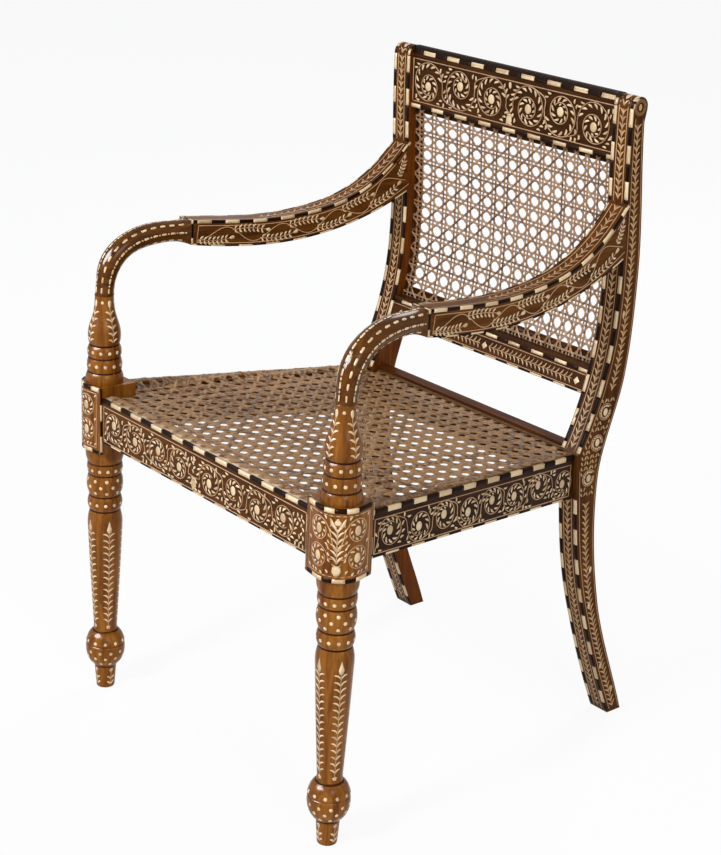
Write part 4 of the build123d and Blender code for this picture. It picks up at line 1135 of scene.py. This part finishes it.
# Where the edging's bars meet, along the block's face from its inner arris
BLOCK_TOP_BARS = [4.0, 19.0, 37.0, 51.0, 66.0, 82.0, 107.0]
BLOCK_BOTTOM_BARS = [4.0, 17.0, 37.0, 51.0, 67.0, 82.0, 102.0, 107.0]
BLOCK_DASH_PITCH = 45.6
BLOCK_EYES = [(26.5, -28.5), (27.0, -63.5)]
BLOCK_ROOTS = (16.0, 1.0)  # where the stems of those leave the tree, above the vase's mouth
BLOCK_RING = 15.4
BLOCK_SCROLLS = {"turns": 1.0, "eye_reach": (4.7, 6.4), "spacing": 11.0}
BLOCK_VASE = 15.5
# Leaves beside the bud (base, tip, width, bend), leaf pairs of the tree (level, reach), and loose leaves
BLOCK_BUD_LEAVES = [((1.4, -23.0), (7.0, -14.0), 3.2, -0.35), ((8.6, -22.0), (10.0, -11.5), 2.8, 0.3)]
BLOCK_TREE = [(-66.0, 8.0), (-58.0, 8.5), (-50.0, 9.0), (-42.0, 9.0), (-34.0, 8.5), (-27.0, 7.0)]
BLOCK_FILLS = [
    (45.0, -12.0),
    (44.6, -46.0),
    (45.0, -82.0),
    (14.0, -46.0),
    (12.5, -80.5),
    (30.0, -83.0),
    (21.0, -84.0),
    (36.0, -83.0),
    (16.0, -11.5),
]


def block_track():
    """The block's round plan from its inner arris to its rear arris."""
    inner = np.array([-BLOCK_TO_INNER_FACE, -BLOCK_INNER_LIP])
    rear = np.array([BLOCK_REAR_LIP, BLOCK_TO_REAR_FACE])
    turns = [
        math.atan2(corner[1], corner[0]) + side * math.acos(BLOCK_CORNER_R / np.linalg.norm(corner))
        for corner, side in ((inner, 1), (rear, -1))
    ]
    arc = turn_of(np.linspace(*turns, 40)) * BLOCK_CORNER_R
    plan = np.concatenate([np.linspace(inner, arc[0], 12)[:-1], arc, np.linspace(arc[-1], rear, 12)[1:]])
    return Track([(LEG_AXIS_X + x, y, 0.0) for x, y in plan])


def block_side(inlay, side, mouth):
    """What stands on one side of the block's tree; side is 1 or -1."""

    def leaf(base, tip, width, bend):
        inlay.leaf((base[0] * side, base[1]), (tip[0] * side, tip[1]), width, bend * side)

    for form in BLOCK_BUD_LEAVES:
        leaf(*form)
    for level, reach in BLOCK_TREE:
        leaf((0.6, level - 2.0), (reach, level + 6.0), 2.5, 0.26)
        leaf((reach + 0.5, level - 1.6), (reach + 3.0, level + 2.6), 2.0, -0.3)
    for root, (across, level) in zip(BLOCK_ROOTS, BLOCK_EYES):
        eye = np.array([across * side, level])
        start = math.pi / 2 + side * 1.15
        first = eye + turn_of(start) * BLOCK_RING
        before = first - np.array([0.42 * side, 0.9]) * 7.0
        inlay.line(smooth([(0.6 * side, mouth + root), (4.5 * side, mouth + root + 5.0), before, first]))
        inlay.scroll(eye, eye, BLOCK_RING, start, -side, **BLOCK_SCROLLS)
    for u, v in BLOCK_FILLS:
        leaf((u - 1.4, v - 2.0), (u + 1.8, v + 2.0), 2.4, 0.3)


def block(piece):
    track = block_track()
    middle = track.length / 2
    inlay = Inlay(piece, shifted(ruled(track, Z), (middle, BLOCK_TOP)))
    reach = middle - BLOCK_BORDER
    low = BLOCK_BOTTOM - BLOCK_TOP + BLOCK_BORDER
    inlay.frame((-reach, low), (reach, -BLOCK_BORDER))
    foot = low + 1.2
    mouth = foot + BLOCK_VASE
    inlay.vase(0.0, foot, BLOCK_VASE)
    inlay.run((0, mouth), (0, -25.0), 1.5)
    inlay.oval((0, -17.0), 4.2, 3.4)
    inlay.bud((0, -20.5), (0, -11.5), 4.6)
    for side in (1, -1):
        block_side(inlay, side, mouth)

    rims = (
        (BLOCK_TOP, BLOCK_TOP_BARS, fixed(-Z), (BONE, EBONY)),
        (BLOCK_BOTTOM, BLOCK_BOTTOM_BARS, fixed(Z), (EBONY, BONE)),
    )
    for level, bars, into, slots in rims:
        rim = Track(track.points + Z * level)
        for number, span in enumerate(zip(bars, bars[1:])):
            edge_bar(piece, rim, into, square_to(-Z), (DASH_FACE, 3.0), *span, slots[number % 2])
    ends = (
        (track.points[0], fixed(X), fixed(Y), 34.0),
        (track.points[-1], fixed(-Y), fixed(-X), 12.0),
    )
    for corner, face_way, edge_way, bone_drop in ends:
        upright = straight(corner + Z * BLOCK_BOTTOM, corner + Z * BLOCK_TOP)
        edging(piece, upright, face_way, edge_way, upright.length - bone_drop, BLOCK_DASH_PITCH, (4.4, 2.6))


# ------------------------------------------------ posts
POST_DASH_PITCH = 47.4
POST_STEP = 5.0
POST_LINE = 7.4  # from the middle of the front face to its two thin lines
# Open stretches of the front face: curve, lowest and highest level, and a bone's middle on its arrises
POST_FRONTS = [
    (POST_LEG_FRONT, 3.0, 356.0, 29.1),
    (POST_BACK_FRONT, 424.0, 683.0, 649.8),
    (POST_BACK_FRONT, 759.0, ROLL_Z, 871.1),
]
POST_CHEVRONS = (9.4, 6.0, 8.2, 2.3, LEAF)
FLANK_CHEVRONS = (9.2, 6.8, 8.2, 2.3, LEAF)
# Stretches of the outer face that have a stem: front curve, lowest and highest level
POST_FLANKS = [(POST_LEG_FRONT, 4.0, 352.0), (POST_BACK_FRONT, 500.0, 866.0)]
# Thin lines of the outer face: curve, distance from that, lowest and highest level, points
POST_BORDERS = [
    (POST_LEG_FRONT, 6.4, 4.0, 398.0, 60),
    (POST_BACK_FRONT, 6.4, 432.0, 870.0, 60),
    (POST_REAR, -2.6, 4.0, 868.0, 110),
]
POST_BUDS = [(494.9, 607.7), (475.5, 242.9), (479.5, 186.8), (515.5, 82.5), (543.4, 37.7)]  # (y, z)
ROLL_BARS = (0.0, 9.0, 22.0)  # where the bars on the roll meet, up its round
ROLL_BAR_WIDTH = 4.8
ROLL_RING = (8.9, 4.4)  # radius and width of the golden ring on the roll's end
KNEE_EYES = [(477.3, 474.8), (466.5, 433.2), (455.5, 384.0)]
KNEE_RING = 12.0
KNEE_SCROLLS = {"turns": 0.95, "eye_reach": (4.0, 5.4), "spacing": 6.4}
KNEE_LEVELS = (362.0, 496.0, 7.6)  # lowest and highest row of the knee's leaves, and their pitch
KNEE_COLUMN = 5.2


def post_track(x, low, high, *curves):
    """Up the post at x, midway between the curves."""
    levels = np.append(np.arange(low, high, POST_STEP), high)
    return Track([(x, sum(hermite(curve, z) for curve in curves) / len(curves), z) for z in levels])


def post_roll(places, height):
    """The front of the post's rolled top: places are (arc length up, across)."""
    out, up = (turn_of(places[:, 0] / SCROLL_R) * (SCROLL_R + height)[:, None]).T
    return np.stack([POST_AXIS_X - places[:, 1], ROLL_FRONT_Y + SCROLL_R - out, ROLL_Z + up], axis=1)


def post_front(piece):
    for knots, low, high, bone_z in POST_FRONTS:
        middle = post_track(POST_AXIS_X, low, high, knots)
        inlay = Inlay(piece, ruled(middle, -X))
        for side in (1, -1):
            inlay.along(0, middle.length, POST_LINE * side)
            arris = post_track(POST_AXIS_X + POST_WIDTH / 2 * side, low, high, knots)
            anchor = arris.where(2, bone_z)
            edging(piece, arris, fixed(-X * side), square_to(X), anchor, POST_DASH_PITCH)
        inlay.chevrons(3.0, middle.length - 3.0, *POST_CHEVRONS)
    roll = Inlay(piece, post_roll)
    edge = (POST_WIDTH - ROLL_BAR_WIDTH) / 2
    for side, slots in ((1, (BONE, EBONY)), (-1, (EBONY, BONE))):
        roll.along(0, 12.0, POST_LINE * side)
        for start, end, slot in zip(ROLL_BARS, ROLL_BARS[1:], slots):
            roll.along(start, end, edge * side, ROLL_BAR_WIDTH, slot, 3.0)
        roll.leaf((1.0, 0.5 * side), (9.0, 6.0 * side), 2.3, -0.3 * side, slot=LEAF)
    roll.bud((10.0, 0), (21.0, 0), 8.0)


def post_outer_face(piece):
    for knots, low, high in POST_FLANKS:
        middle = post_track(POST_OUTER_X, low, high, knots, POST_REAR)
        inlay = Inlay(piece, flanked(middle, X))
        inlay.chevrons(4.0, middle.length - 4.0, *FLANK_CHEVRONS)
    face = Inlay(piece, plane(X * POST_OUTER_X, Y, Z))
    for knots, off, low, high, count in POST_BORDERS:
        face.line([(hermite(knots, z) + off, z) for z in np.linspace(low, high, count)])
    for eye, hand in zip(KNEE_EYES, (1, -1, 1)):
        face.scroll(eye, eye, KNEE_RING, 0.6 * hand, hand, **KNEE_SCROLLS)
    for z in np.arange(*KNEE_LEVELS):
        front = hermite(POST_LEG_FRONT, min(z, POST_LEG_FRONT[-1][0]))
        if z > POST_BACK_FRONT[0][0]:
            front = hermite(POST_BACK_FRONT, z)
        for column, y in enumerate(np.arange(front + 10.0, hermite(POST_REAR, z) - 6.0, KNEE_COLUMN)):
            if min(math.dist((y, z), eye) for eye in KNEE_EYES) > KNEE_RING + 3.4:
                lean = 1.3 if column % 2 else -1.3
                face.leaf((y - lean, z - 2.7), (y + lean, z + 2.7), 2.5, -0.2 * lean, slot=LEAF)
    for y, z in POST_BUDS:
        face.bud((y, z - 5.0), (y + 0.6, z + 5.0), 4.6)
    roll_middle = (ROLL_FRONT_Y + SCROLL_R, ROLL_Z)
    radius, width = ROLL_RING
    face.ribbon(turn_of(np.linspace(0, 2 * math.pi, 25)) * radius + roll_middle, width, GOLD)
    face.oval(roll_middle, 2.8, 4.4, slot=LEAF)
    for start in (1.9, 2.7):
        face.ribbon(turn_of(np.linspace(start, start + 0.5, 5)) * (SCROLL_R - 2.0) + roll_middle, 3.2)


def rear_post(piece):
    post_front(piece)
    post_outer_face(piece)


# ------------------------------------------------ arms, collars and elbows
ARM_DASH_PITCH = 45.4
# Curve, 1 at the top and -1 at the underside, a bone's middle, and widths on the side and round the arris
ARM_EDGES = ((ARM_TOP, 1, 17.5, (4.2, 1.6)), (ARM_BOTTOM, -1, 40.0, (2.0, 2.0)))
ARM_CHEVRONS = (11.0, 7.0, 8.0, 2.0, LINE)
ARM_STEP = 5.0
ARM_END_Y = 486.0
ARM_FIELD_START = 7.0  # along the arm's side
ARM_FIELD_END_Y = 474.0
ARM_BORDERS = (4.6, 7.4)  # from the lower and the upper arris to the field
ARM_TOP_LINE = 9.4  # from the middle of the top to its two thin lines
VINE_HALF_PERIOD = 46.0
VINE_SWING = 0.46  # as a share of the field's height
VINE_WIDTH = 1.1
SPRAY_ROOM = 34.0  # least length that a spray needs
SPRAY_LEAVES = (7, 7.2)  # pairs and their reach
FIRST_SPRAY = (0.12, 0.26, -0.1)  # share of the field's height at the base and the tip, and bend
NEXT_SPRAYS = ((0.22, 0.26, -0.1), (0.78, 0.72, 0.1))
# Close to the post, as (y, z)
ARM_END_LINE = ((467.5, 727.5), (480.5, 744.0))
ARM_END_SPRAY = ((468.0, 708.0), (477.5, 734.0))


def arm_side(hand):
    """X of the arm's outer (1) or inner (-1) side as a function of Y, and its change with Y."""
    front_x = COLLAR_X + ARM_FRONT_WIDTH / 2 * hand
    joint_y = hermite(POST_BACK_FRONT, (ARM_TOP[-1][1] + ARM_BOTTOM[-1][1]) / 2)
    slide = ((POST_OUTER_X if hand > 0 else POST_INNER_X) - front_x) / (joint_y - COLLAR_Y)
    return lambda y: front_x + (y - COLLAR_Y) * slide, slide


def arm_track(x_of, *curves):
    """Along the arm from its collar, midway between the curves."""
    places = np.arange(COLLAR_Y + COLLAR_WIDTH, ARM_END_Y, ARM_STEP)
    return Track([(x_of(y), y, sum(hermite(curve, y) for curve in curves) / len(curves)) for y in places])


def arm_sprays(end):
    """(start, end, share of the height at base and tip, bend) of the sprays in a field with that end."""
    first = ARM_FIELD_START + 2.0
    yield first, first + VINE_HALF_PERIOD * 1.1, *FIRST_SPRAY
    for k in range(1, 8):
        start = ARM_FIELD_START + VINE_HALF_PERIOD * (k + 0.22)
        if start + SPRAY_ROOM <= end:
            yield start, min(start + VINE_HALF_PERIOD * 1.2, end - 5), *NEXT_SPRAYS[k % 2]


def arm_side_field(inlay, middle, hand):
    """A waving vine with a spray in each of its bays."""
    stations = np.linspace(ARM_FIELD_START, middle.where(1, ARM_FIELD_END_Y), 60)
    place, way = middle.at(stations)
    low, high = (
        (np.array([hermite(curve, y) for y in place[:, 1]]) - place[:, 2]) * way[:, 1] + border
        for curve, border in ((ARM_BOTTOM, ARM_BORDERS[0]), (ARM_TOP, -ARM_BORDERS[1]))
    )
    for edge in (high, low):
        inlay.line(columns(stations, edge * hand))
    inlay.run((stations[0], low[0] * hand), (stations[0], high[0] * hand))

    def in_field(u, share):
        """Place at a share of the field's height; 0 is its lower edge."""
        foot, head = np.interp(u, stations, low) + 1.2, np.interp(u, stations, high) - 1.2
        return np.array([u, (foot + (head - foot) * share) * hand])

    wave = np.linspace(ARM_FIELD_START + 1.0, stations[-1] - 1.0, 90)
    swing = VINE_SWING * np.cos(math.pi * (wave - ARM_FIELD_START) / VINE_HALF_PERIOD)
    inlay.line([in_field(u, 0.5 - s) for u, s in zip(wave, swing)], VINE_WIDTH)
    for start, end, at_base, at_tip, bend in arm_sprays(stations[-1]):
        inlay.spray(in_field(start, at_base), in_field(end, at_tip), bend * hand, *SPRAY_LEAVES)


def arm(piece):
    for hand in (1, -1):
        x_of, slide = arm_side(hand)
        for curve, turn, anchor, widths in ARM_EDGES:
            arris = arm_track(x_of, curve)
            edging(piece, arris, square_to(X * turn), fixed(-X * hand), anchor, ARM_DASH_PITCH, widths)
        middle = arm_track(x_of, ARM_TOP, ARM_BOTTOM)
        out = np.array([1, -slide, 0]) * hand / math.hypot(1, slide)
        arm_side_field(Inlay(piece, flanked(middle, out)), middle, hand)
        rear = Inlay(piece, plane(X * x_of(0.0), (slide * hand, hand, 0), Z))
        rear.run(*((y * hand, z) for y, z in ARM_END_LINE))
        rear.spray(*((y * hand, z) for y, z in ARM_END_SPRAY), -0.12 * hand, 5, 6.0)
    outer_x, inner_x = arm_side(1)[0], arm_side(-1)[0]
    top = arm_track(lambda y: (outer_x(y) + inner_x(y)) / 2, ARM_TOP)
    inlay = Inlay(piece, ruled(top, -X))
    for side in (1, -1):
        inlay.along(4.0, top.length - 2.0, ARM_TOP_LINE * side)
    inlay.chevrons(top.length * 0.3, top.length - 4.0, *ARM_CHEVRONS)


def collar(piece):
    """Ebony wraps the band's middle between two bone ends."""
    half, centre = ARM_FRONT_WIDTH / 2, COLLAR_WIDTH / 2
    low, high = ARM_BOTTOM[0][1], ARM_TOP[0][1]
    sides = [(centre, level) for level in (low, low + 9.5, high - 5.0, high)]
    top = [(across, centre) for across in (-half, -5.0, 5.0, half)]
    faces = (
        (plane((COLLAR_X + half, COLLAR_Y, 0), Y, Z), sides),
        (plane((COLLAR_X - half, COLLAR_Y + COLLAR_WIDTH, 0), -Y, Z), sides),
        (plane((COLLAR_X, COLLAR_Y, high), X, Y), top),
    )
    for surface, marks in faces:
        for start, end, slot in zip(marks, marks[1:], (BONE, EBONY, BONE)):
            Inlay(piece, surface).run(start, end, COLLAR_WIDTH, slot=slot)


ELBOW_R = 14.5
ELBOW_RAY_START = 40.0
ELBOW_ROWS = 8
ELBOW_PITCH = 13.5
ELBOW_BAR = (7.4, 2.8)  # length and width


def elbow(piece):
    slide = (COLLAR_X - LEG_AXIS_X) / COLLAR_Y
    pull_y, pull_z = ELBOW_PEAK
    pulls = np.array([
        (LEG_AXIS_X, 0, SUPPORT_TOP),
        (LEG_AXIS_X, 0, SUPPORT_TOP + ELBOW_RISE),
        (LEG_AXIS_X + slide * pull_y, pull_y, SUPPORT_TOP + pull_z),
        (COLLAR_X, COLLAR_Y, (ARM_TOP[0][1] + ARM_BOTTOM[0][1]) / 2),
    ])
    t = np.linspace(0, 1, 60)[:, None]
    weights = ((1 - t) ** 3, 3 * t * (1 - t) ** 2, 3 * t**2 * (1 - t), t**3)
    track = Track(sum(w * pull for w, pull in zip(weights, pulls)))
    outward = unit(np.array([COLLAR_Y, LEG_AXIS_X - COLLAR_X, 0.0]))
    skin = Skin("arm_elbow_left")

    def around(turn):
        def surface(places, height):
            place, way = track.at(places[:, 0])
            at = (turn - places[:, 1] / ELBOW_R)[:, None]
            out = np.cos(at) * outward + np.sin(at) * np.cross(way, outward)
            found = [skin.hit(p + o * ELBOW_RAY_START, -o) for p, o in zip(place, out)]
            points = [p + o * ELBOW_R if f is None else f for f, p, o in zip(found, place, out)]
            return np.array(points) + out * height[:, None]

        return surface

    length, width = ELBOW_BAR
    for row in range(ELBOW_ROWS):
        inlay = Inlay(piece, around(2 * math.pi * row / ELBOW_ROWS))
        for middle in np.arange(8.0, track.length - 5.0, ELBOW_PITCH):
            ends = [(middle + share * length, 0) for share in (-0.5, -0.3, 0.3, 0.5)]
            inlay.ribbon(ends, np.array([0.55, 1.0, 1.0, 0.55]) * width)
            between = middle + ELBOW_PITCH / 2
            if row % 2 == 0 and between < track.length - 5:
                inlay.ribbon([(between + off, 0) for off in (-1.7, 0.0, 1.7)], (0.5, 2.6, 0.5))


# ------------------------------------------------ turned work
GROOVE_WIDTH = 2.4
BEAD_ROWS = 9.0  # between the rows of dots on the leg's bead
BALL_ROWS = (43.0, 52.0, 61.0)
FOOT_STEM = (5.0, 27.0)


def dot_ring(piece, turned, level, count, phase=0.0, size=2.5):
    for k in range(count):
        Inlay(piece, turned.facing(2 * math.pi * (k + phase) / count)).oval((level, 0), size, size, 8)


def groove(piece, turned, level):
    """Painted shade: a dark line round a turned piece, where shade falls in its groove."""
    reach = math.pi * turned.radius(level)
    places = [(level, v) for v in np.linspace(-reach, reach, 49)]
    Inlay(piece, turned.facing(0.0)).ribbon(places, GROOVE_WIDTH, GROOVE_SHADE)


def arm_support(piece):
    outside = Turned("arm_support_left", BLOCK_TOP + 1, SUPPORT_TOP)
    low, middle, high = SUPPORT_GROOVES
    for level in SUPPORT_GROOVES:
        groove(piece, outside, level)
    dot_ring(piece, outside, (low + middle) / 2, 12)
    dot_ring(piece, outside, (middle + high) / 2, 12, 0.5)
    for quarter in range(4):
        inlay = Inlay(piece, outside.facing(math.pi / 2 * quarter))
        inlay.along(high + 6.0, SUPPORT_TOP - 13.0, width=STEM_WIDTH)
        for level in np.arange(high + 6.0, SUPPORT_TOP - 22.0, 9.3):
            inlay.pair(level, 4.6, 7.2, 2.7, -0.4)
        inlay.bud((SUPPORT_TOP - 16.0, 0), (SUPPORT_TOP - 5.0, 0), 5.0)
        between = Inlay(piece, outside.facing(math.pi / 2 * (quarter + 0.5)))
        between.oval((SUPPORT_TOP - 8.0, 0), 2.2, 2.2, 8)


def front_leg(piece):
    outside = Turned("front_leg_left", 2.0, BLOCK_BOTTOM)
    low, bead_low, bead_high, high = LEG_GROOVES
    for level in (*LEG_GROOVES, BALL_TOP, BALL_BOTTOM):
        groove(piece, outside, level)
    dot_ring(piece, outside, (low + bead_low) / 2, 12)
    dot_ring(piece, outside, (bead_high + high) / 2 - 0.5, 13, 0.3)
    for row in range(3):
        level = (bead_low + bead_high) / 2 + BEAD_ROWS * (row - 1)
        dot_ring(piece, outside, level, 9, 0.5 * (row % 2) + 0.15)
    for stem in range(5):
        inlay = Inlay(piece, outside.facing(-math.pi / 2 + 2 * math.pi * stem / 5))
        inlay.along(SHAFT_BOTTOM + 3.0, SHAFT_SHOULDER - 4.0, width=STEM_WIDTH)
        for level in np.arange(SHAFT_BOTTOM + 9.0, SHAFT_SHOULDER - 10.0, 9.6):
            inlay.pair(level, 5.0, 0.3 * outside.radius(level) + 2.0, 2.3, -0.4)
        inlay.bud((SHAFT_SHOULDER - 8.0, 0), (SHAFT_SHOULDER + 9.0, 0), 7.4, BUD_SHAPE)
        inlay.star(np.array([SHAFT_BOTTOM + 1.0, 0.0]), 3.2)
    for row, level in enumerate(BALL_ROWS):
        dot_ring(piece, outside, level, 11, 0.5 * (row % 2), 2.4)
    dot_ring(piece, outside, BALL_WAIST + 5.5, 11, 0.5, 2.4)
    for quarter in range(4):
        inlay = Inlay(piece, outside.facing(math.pi / 2 * quarter))
        inlay.along(*FOOT_STEM, width=STEM_WIDTH)
        inlay.star(np.array([FOOT_STEM[1] + 2.0, 0.0]), 3.0)
        for level in (6.0, 14.5):
            inlay.pair(level, 4.5, 6.0, 2.6, -0.22)


# ------------------------------------------------ camera, light and floor
CAMERA_PLACE = Vector((1.86419, -1.62803, 1.34163))
CAMERA_AIM = Vector((0.00031, -0.02289, 0.42780))
CAMERA_ROLL = 0.04614
CAMERA_LENS = 96.37
FLOOR_REACH = 12.0
FLOOR_COLOUR = (0.8, 0.8, 0.81, 1)
FLOOR_WHITE = 0.92  # share of plain white that the camera sees in it
AMBIENT_COLOUR = (0.92, 0.96, 1.0, 1)
AMBIENT_STRENGTH = 0.34


def make_camera():
    data = bpy.data.cameras.new("camera")
    data.lens = CAMERA_LENS
    data.sensor_width = 36.0
    data.sensor_fit = "HORIZONTAL"
    forward = (CAMERA_AIM - CAMERA_PLACE).normalized()
    level = forward.cross(Vector((0, 0, 1))).normalized()
    rise = level.cross(forward)
    turn_c, turn_s = math.cos(CAMERA_ROLL), math.sin(CAMERA_ROLL)
    right = turn_c * level + turn_s * rise
    up = turn_c * rise - turn_s * level
    place = Matrix((right, up, -forward)).transposed().to_4x4()
    place.translation = CAMERA_PLACE
    camera = bpy.data.objects.new("camera", data)
    camera.matrix_world = place
    bpy.context.scene.collection.objects.link(camera)
    bpy.context.scene.camera = camera


def area_light(name, place, aim, size, power):
    data = bpy.data.lights.new(name, "AREA")
    data.shape = "DISK"
    data.size = size
    data.energy = power
    light = bpy.data.objects.new(name, data)
    light.location = place
    light.rotation_euler = (Vector(aim) - Vector(place)).to_track_quat("-Z", "Y").to_euler()
    bpy.context.scene.collection.objects.link(light)
    return light


def white_to_camera(n, lit, share, output):
    """Mixes plain white into a shader where the camera, a glossy or a clear ray sees it."""
    path = n.add("ShaderNodeLightPath").outputs
    seen = n.math("MAXIMUM", path["Is Camera Ray"], path["Is Glossy Ray"])
    seen = n.math("MAXIMUM", seen, path["Is Transmission Ray"])
    mix = n.add("ShaderNodeMixShader")
    n.link(n.math("MULTIPLY", seen, share), mix.inputs["Fac"])
    n.link(lit, mix.inputs[1])
    n.link(n.add("ShaderNodeEmission", Strength=1.0).outputs["Emission"], mix.inputs[2])
    n.link(mix.outputs["Shader"], n.tree.nodes[output].inputs["Surface"])


def make_stage():
    reach = FLOOR_REACH
    corners = [(-reach, -reach, 0), (reach, -reach, 0), (reach, reach, 0), (-reach, reach, 0)]
    mesh = bpy.data.meshes.new("floor")
    mesh.from_pydata(corners, [], [(0, 1, 2, 3)])
    floor = bpy.data.objects.new("floor", mesh)
    bpy.context.scene.collection.objects.link(floor)
    n = Nodes(bpy.data.materials.new("floor"))
    mesh.materials.append(n.finish(FLOOR_COLOUR, 0.9, 0.1))
    white_to_camera(n, n.tree.nodes["Principled BSDF"].outputs["BSDF"], FLOOR_WHITE, "Material Output")

    world = bpy.data.worlds.new("world")
    bpy.context.scene.world = world
    n = Nodes(world)
    ambient = n.tree.nodes["Background"]
    ambient.inputs["Color"].default_value = AMBIENT_COLOUR
    ambient.inputs["Strength"].default_value = AMBIENT_STRENGTH
    white_to_camera(n, ambient.outputs["Background"], 1.0, "World Output")


def light_scene():
    area_light("key", (0.3, -3.1, 2.6), (0, 0, 0.5), 0.8, 100)
    area_light("fill", (3.2, -1.2, 2.0), (0, 0, 0.5), 1.6, 42)
    area_light("back", (-1.2, 2.6, 3.0), (0, 0, 0.6), 1.6, 60)
    # Seen only in the polish
    area_light("shine", (-0.9, -2.6, 2.2), (0, 0, 0.5), 1.8, 500).visible_diffuse = False


INLAID = {
    "inlay_front_rail": front_rail,
    "inlay_side_rail_left": side_rail,
    "inlay_crest_rail": crest_rail,
    "inlay_lower_back_rail": lower_rail,
    "inlay_block_left": block,
    "inlay_post_left": rear_post,
    "inlay_arm_left": arm,
    "inlay_collar_left": collar,
    "inlay_elbow_left": elbow,
    "inlay_support_left": arm_support,
    "inlay_leg_left": front_leg,
}

dress_nodes()
make_seat_cane()
make_lap_strips()
make_back_cane()
make_back_ledge()
for name, draw in INLAID.items():
    make_inlay(name, draw)
make_camera()
make_stage()
light_scene()

bpy.context.view_layer.update()
bpy.context.scene.view_settings.view_transform = "Standard"
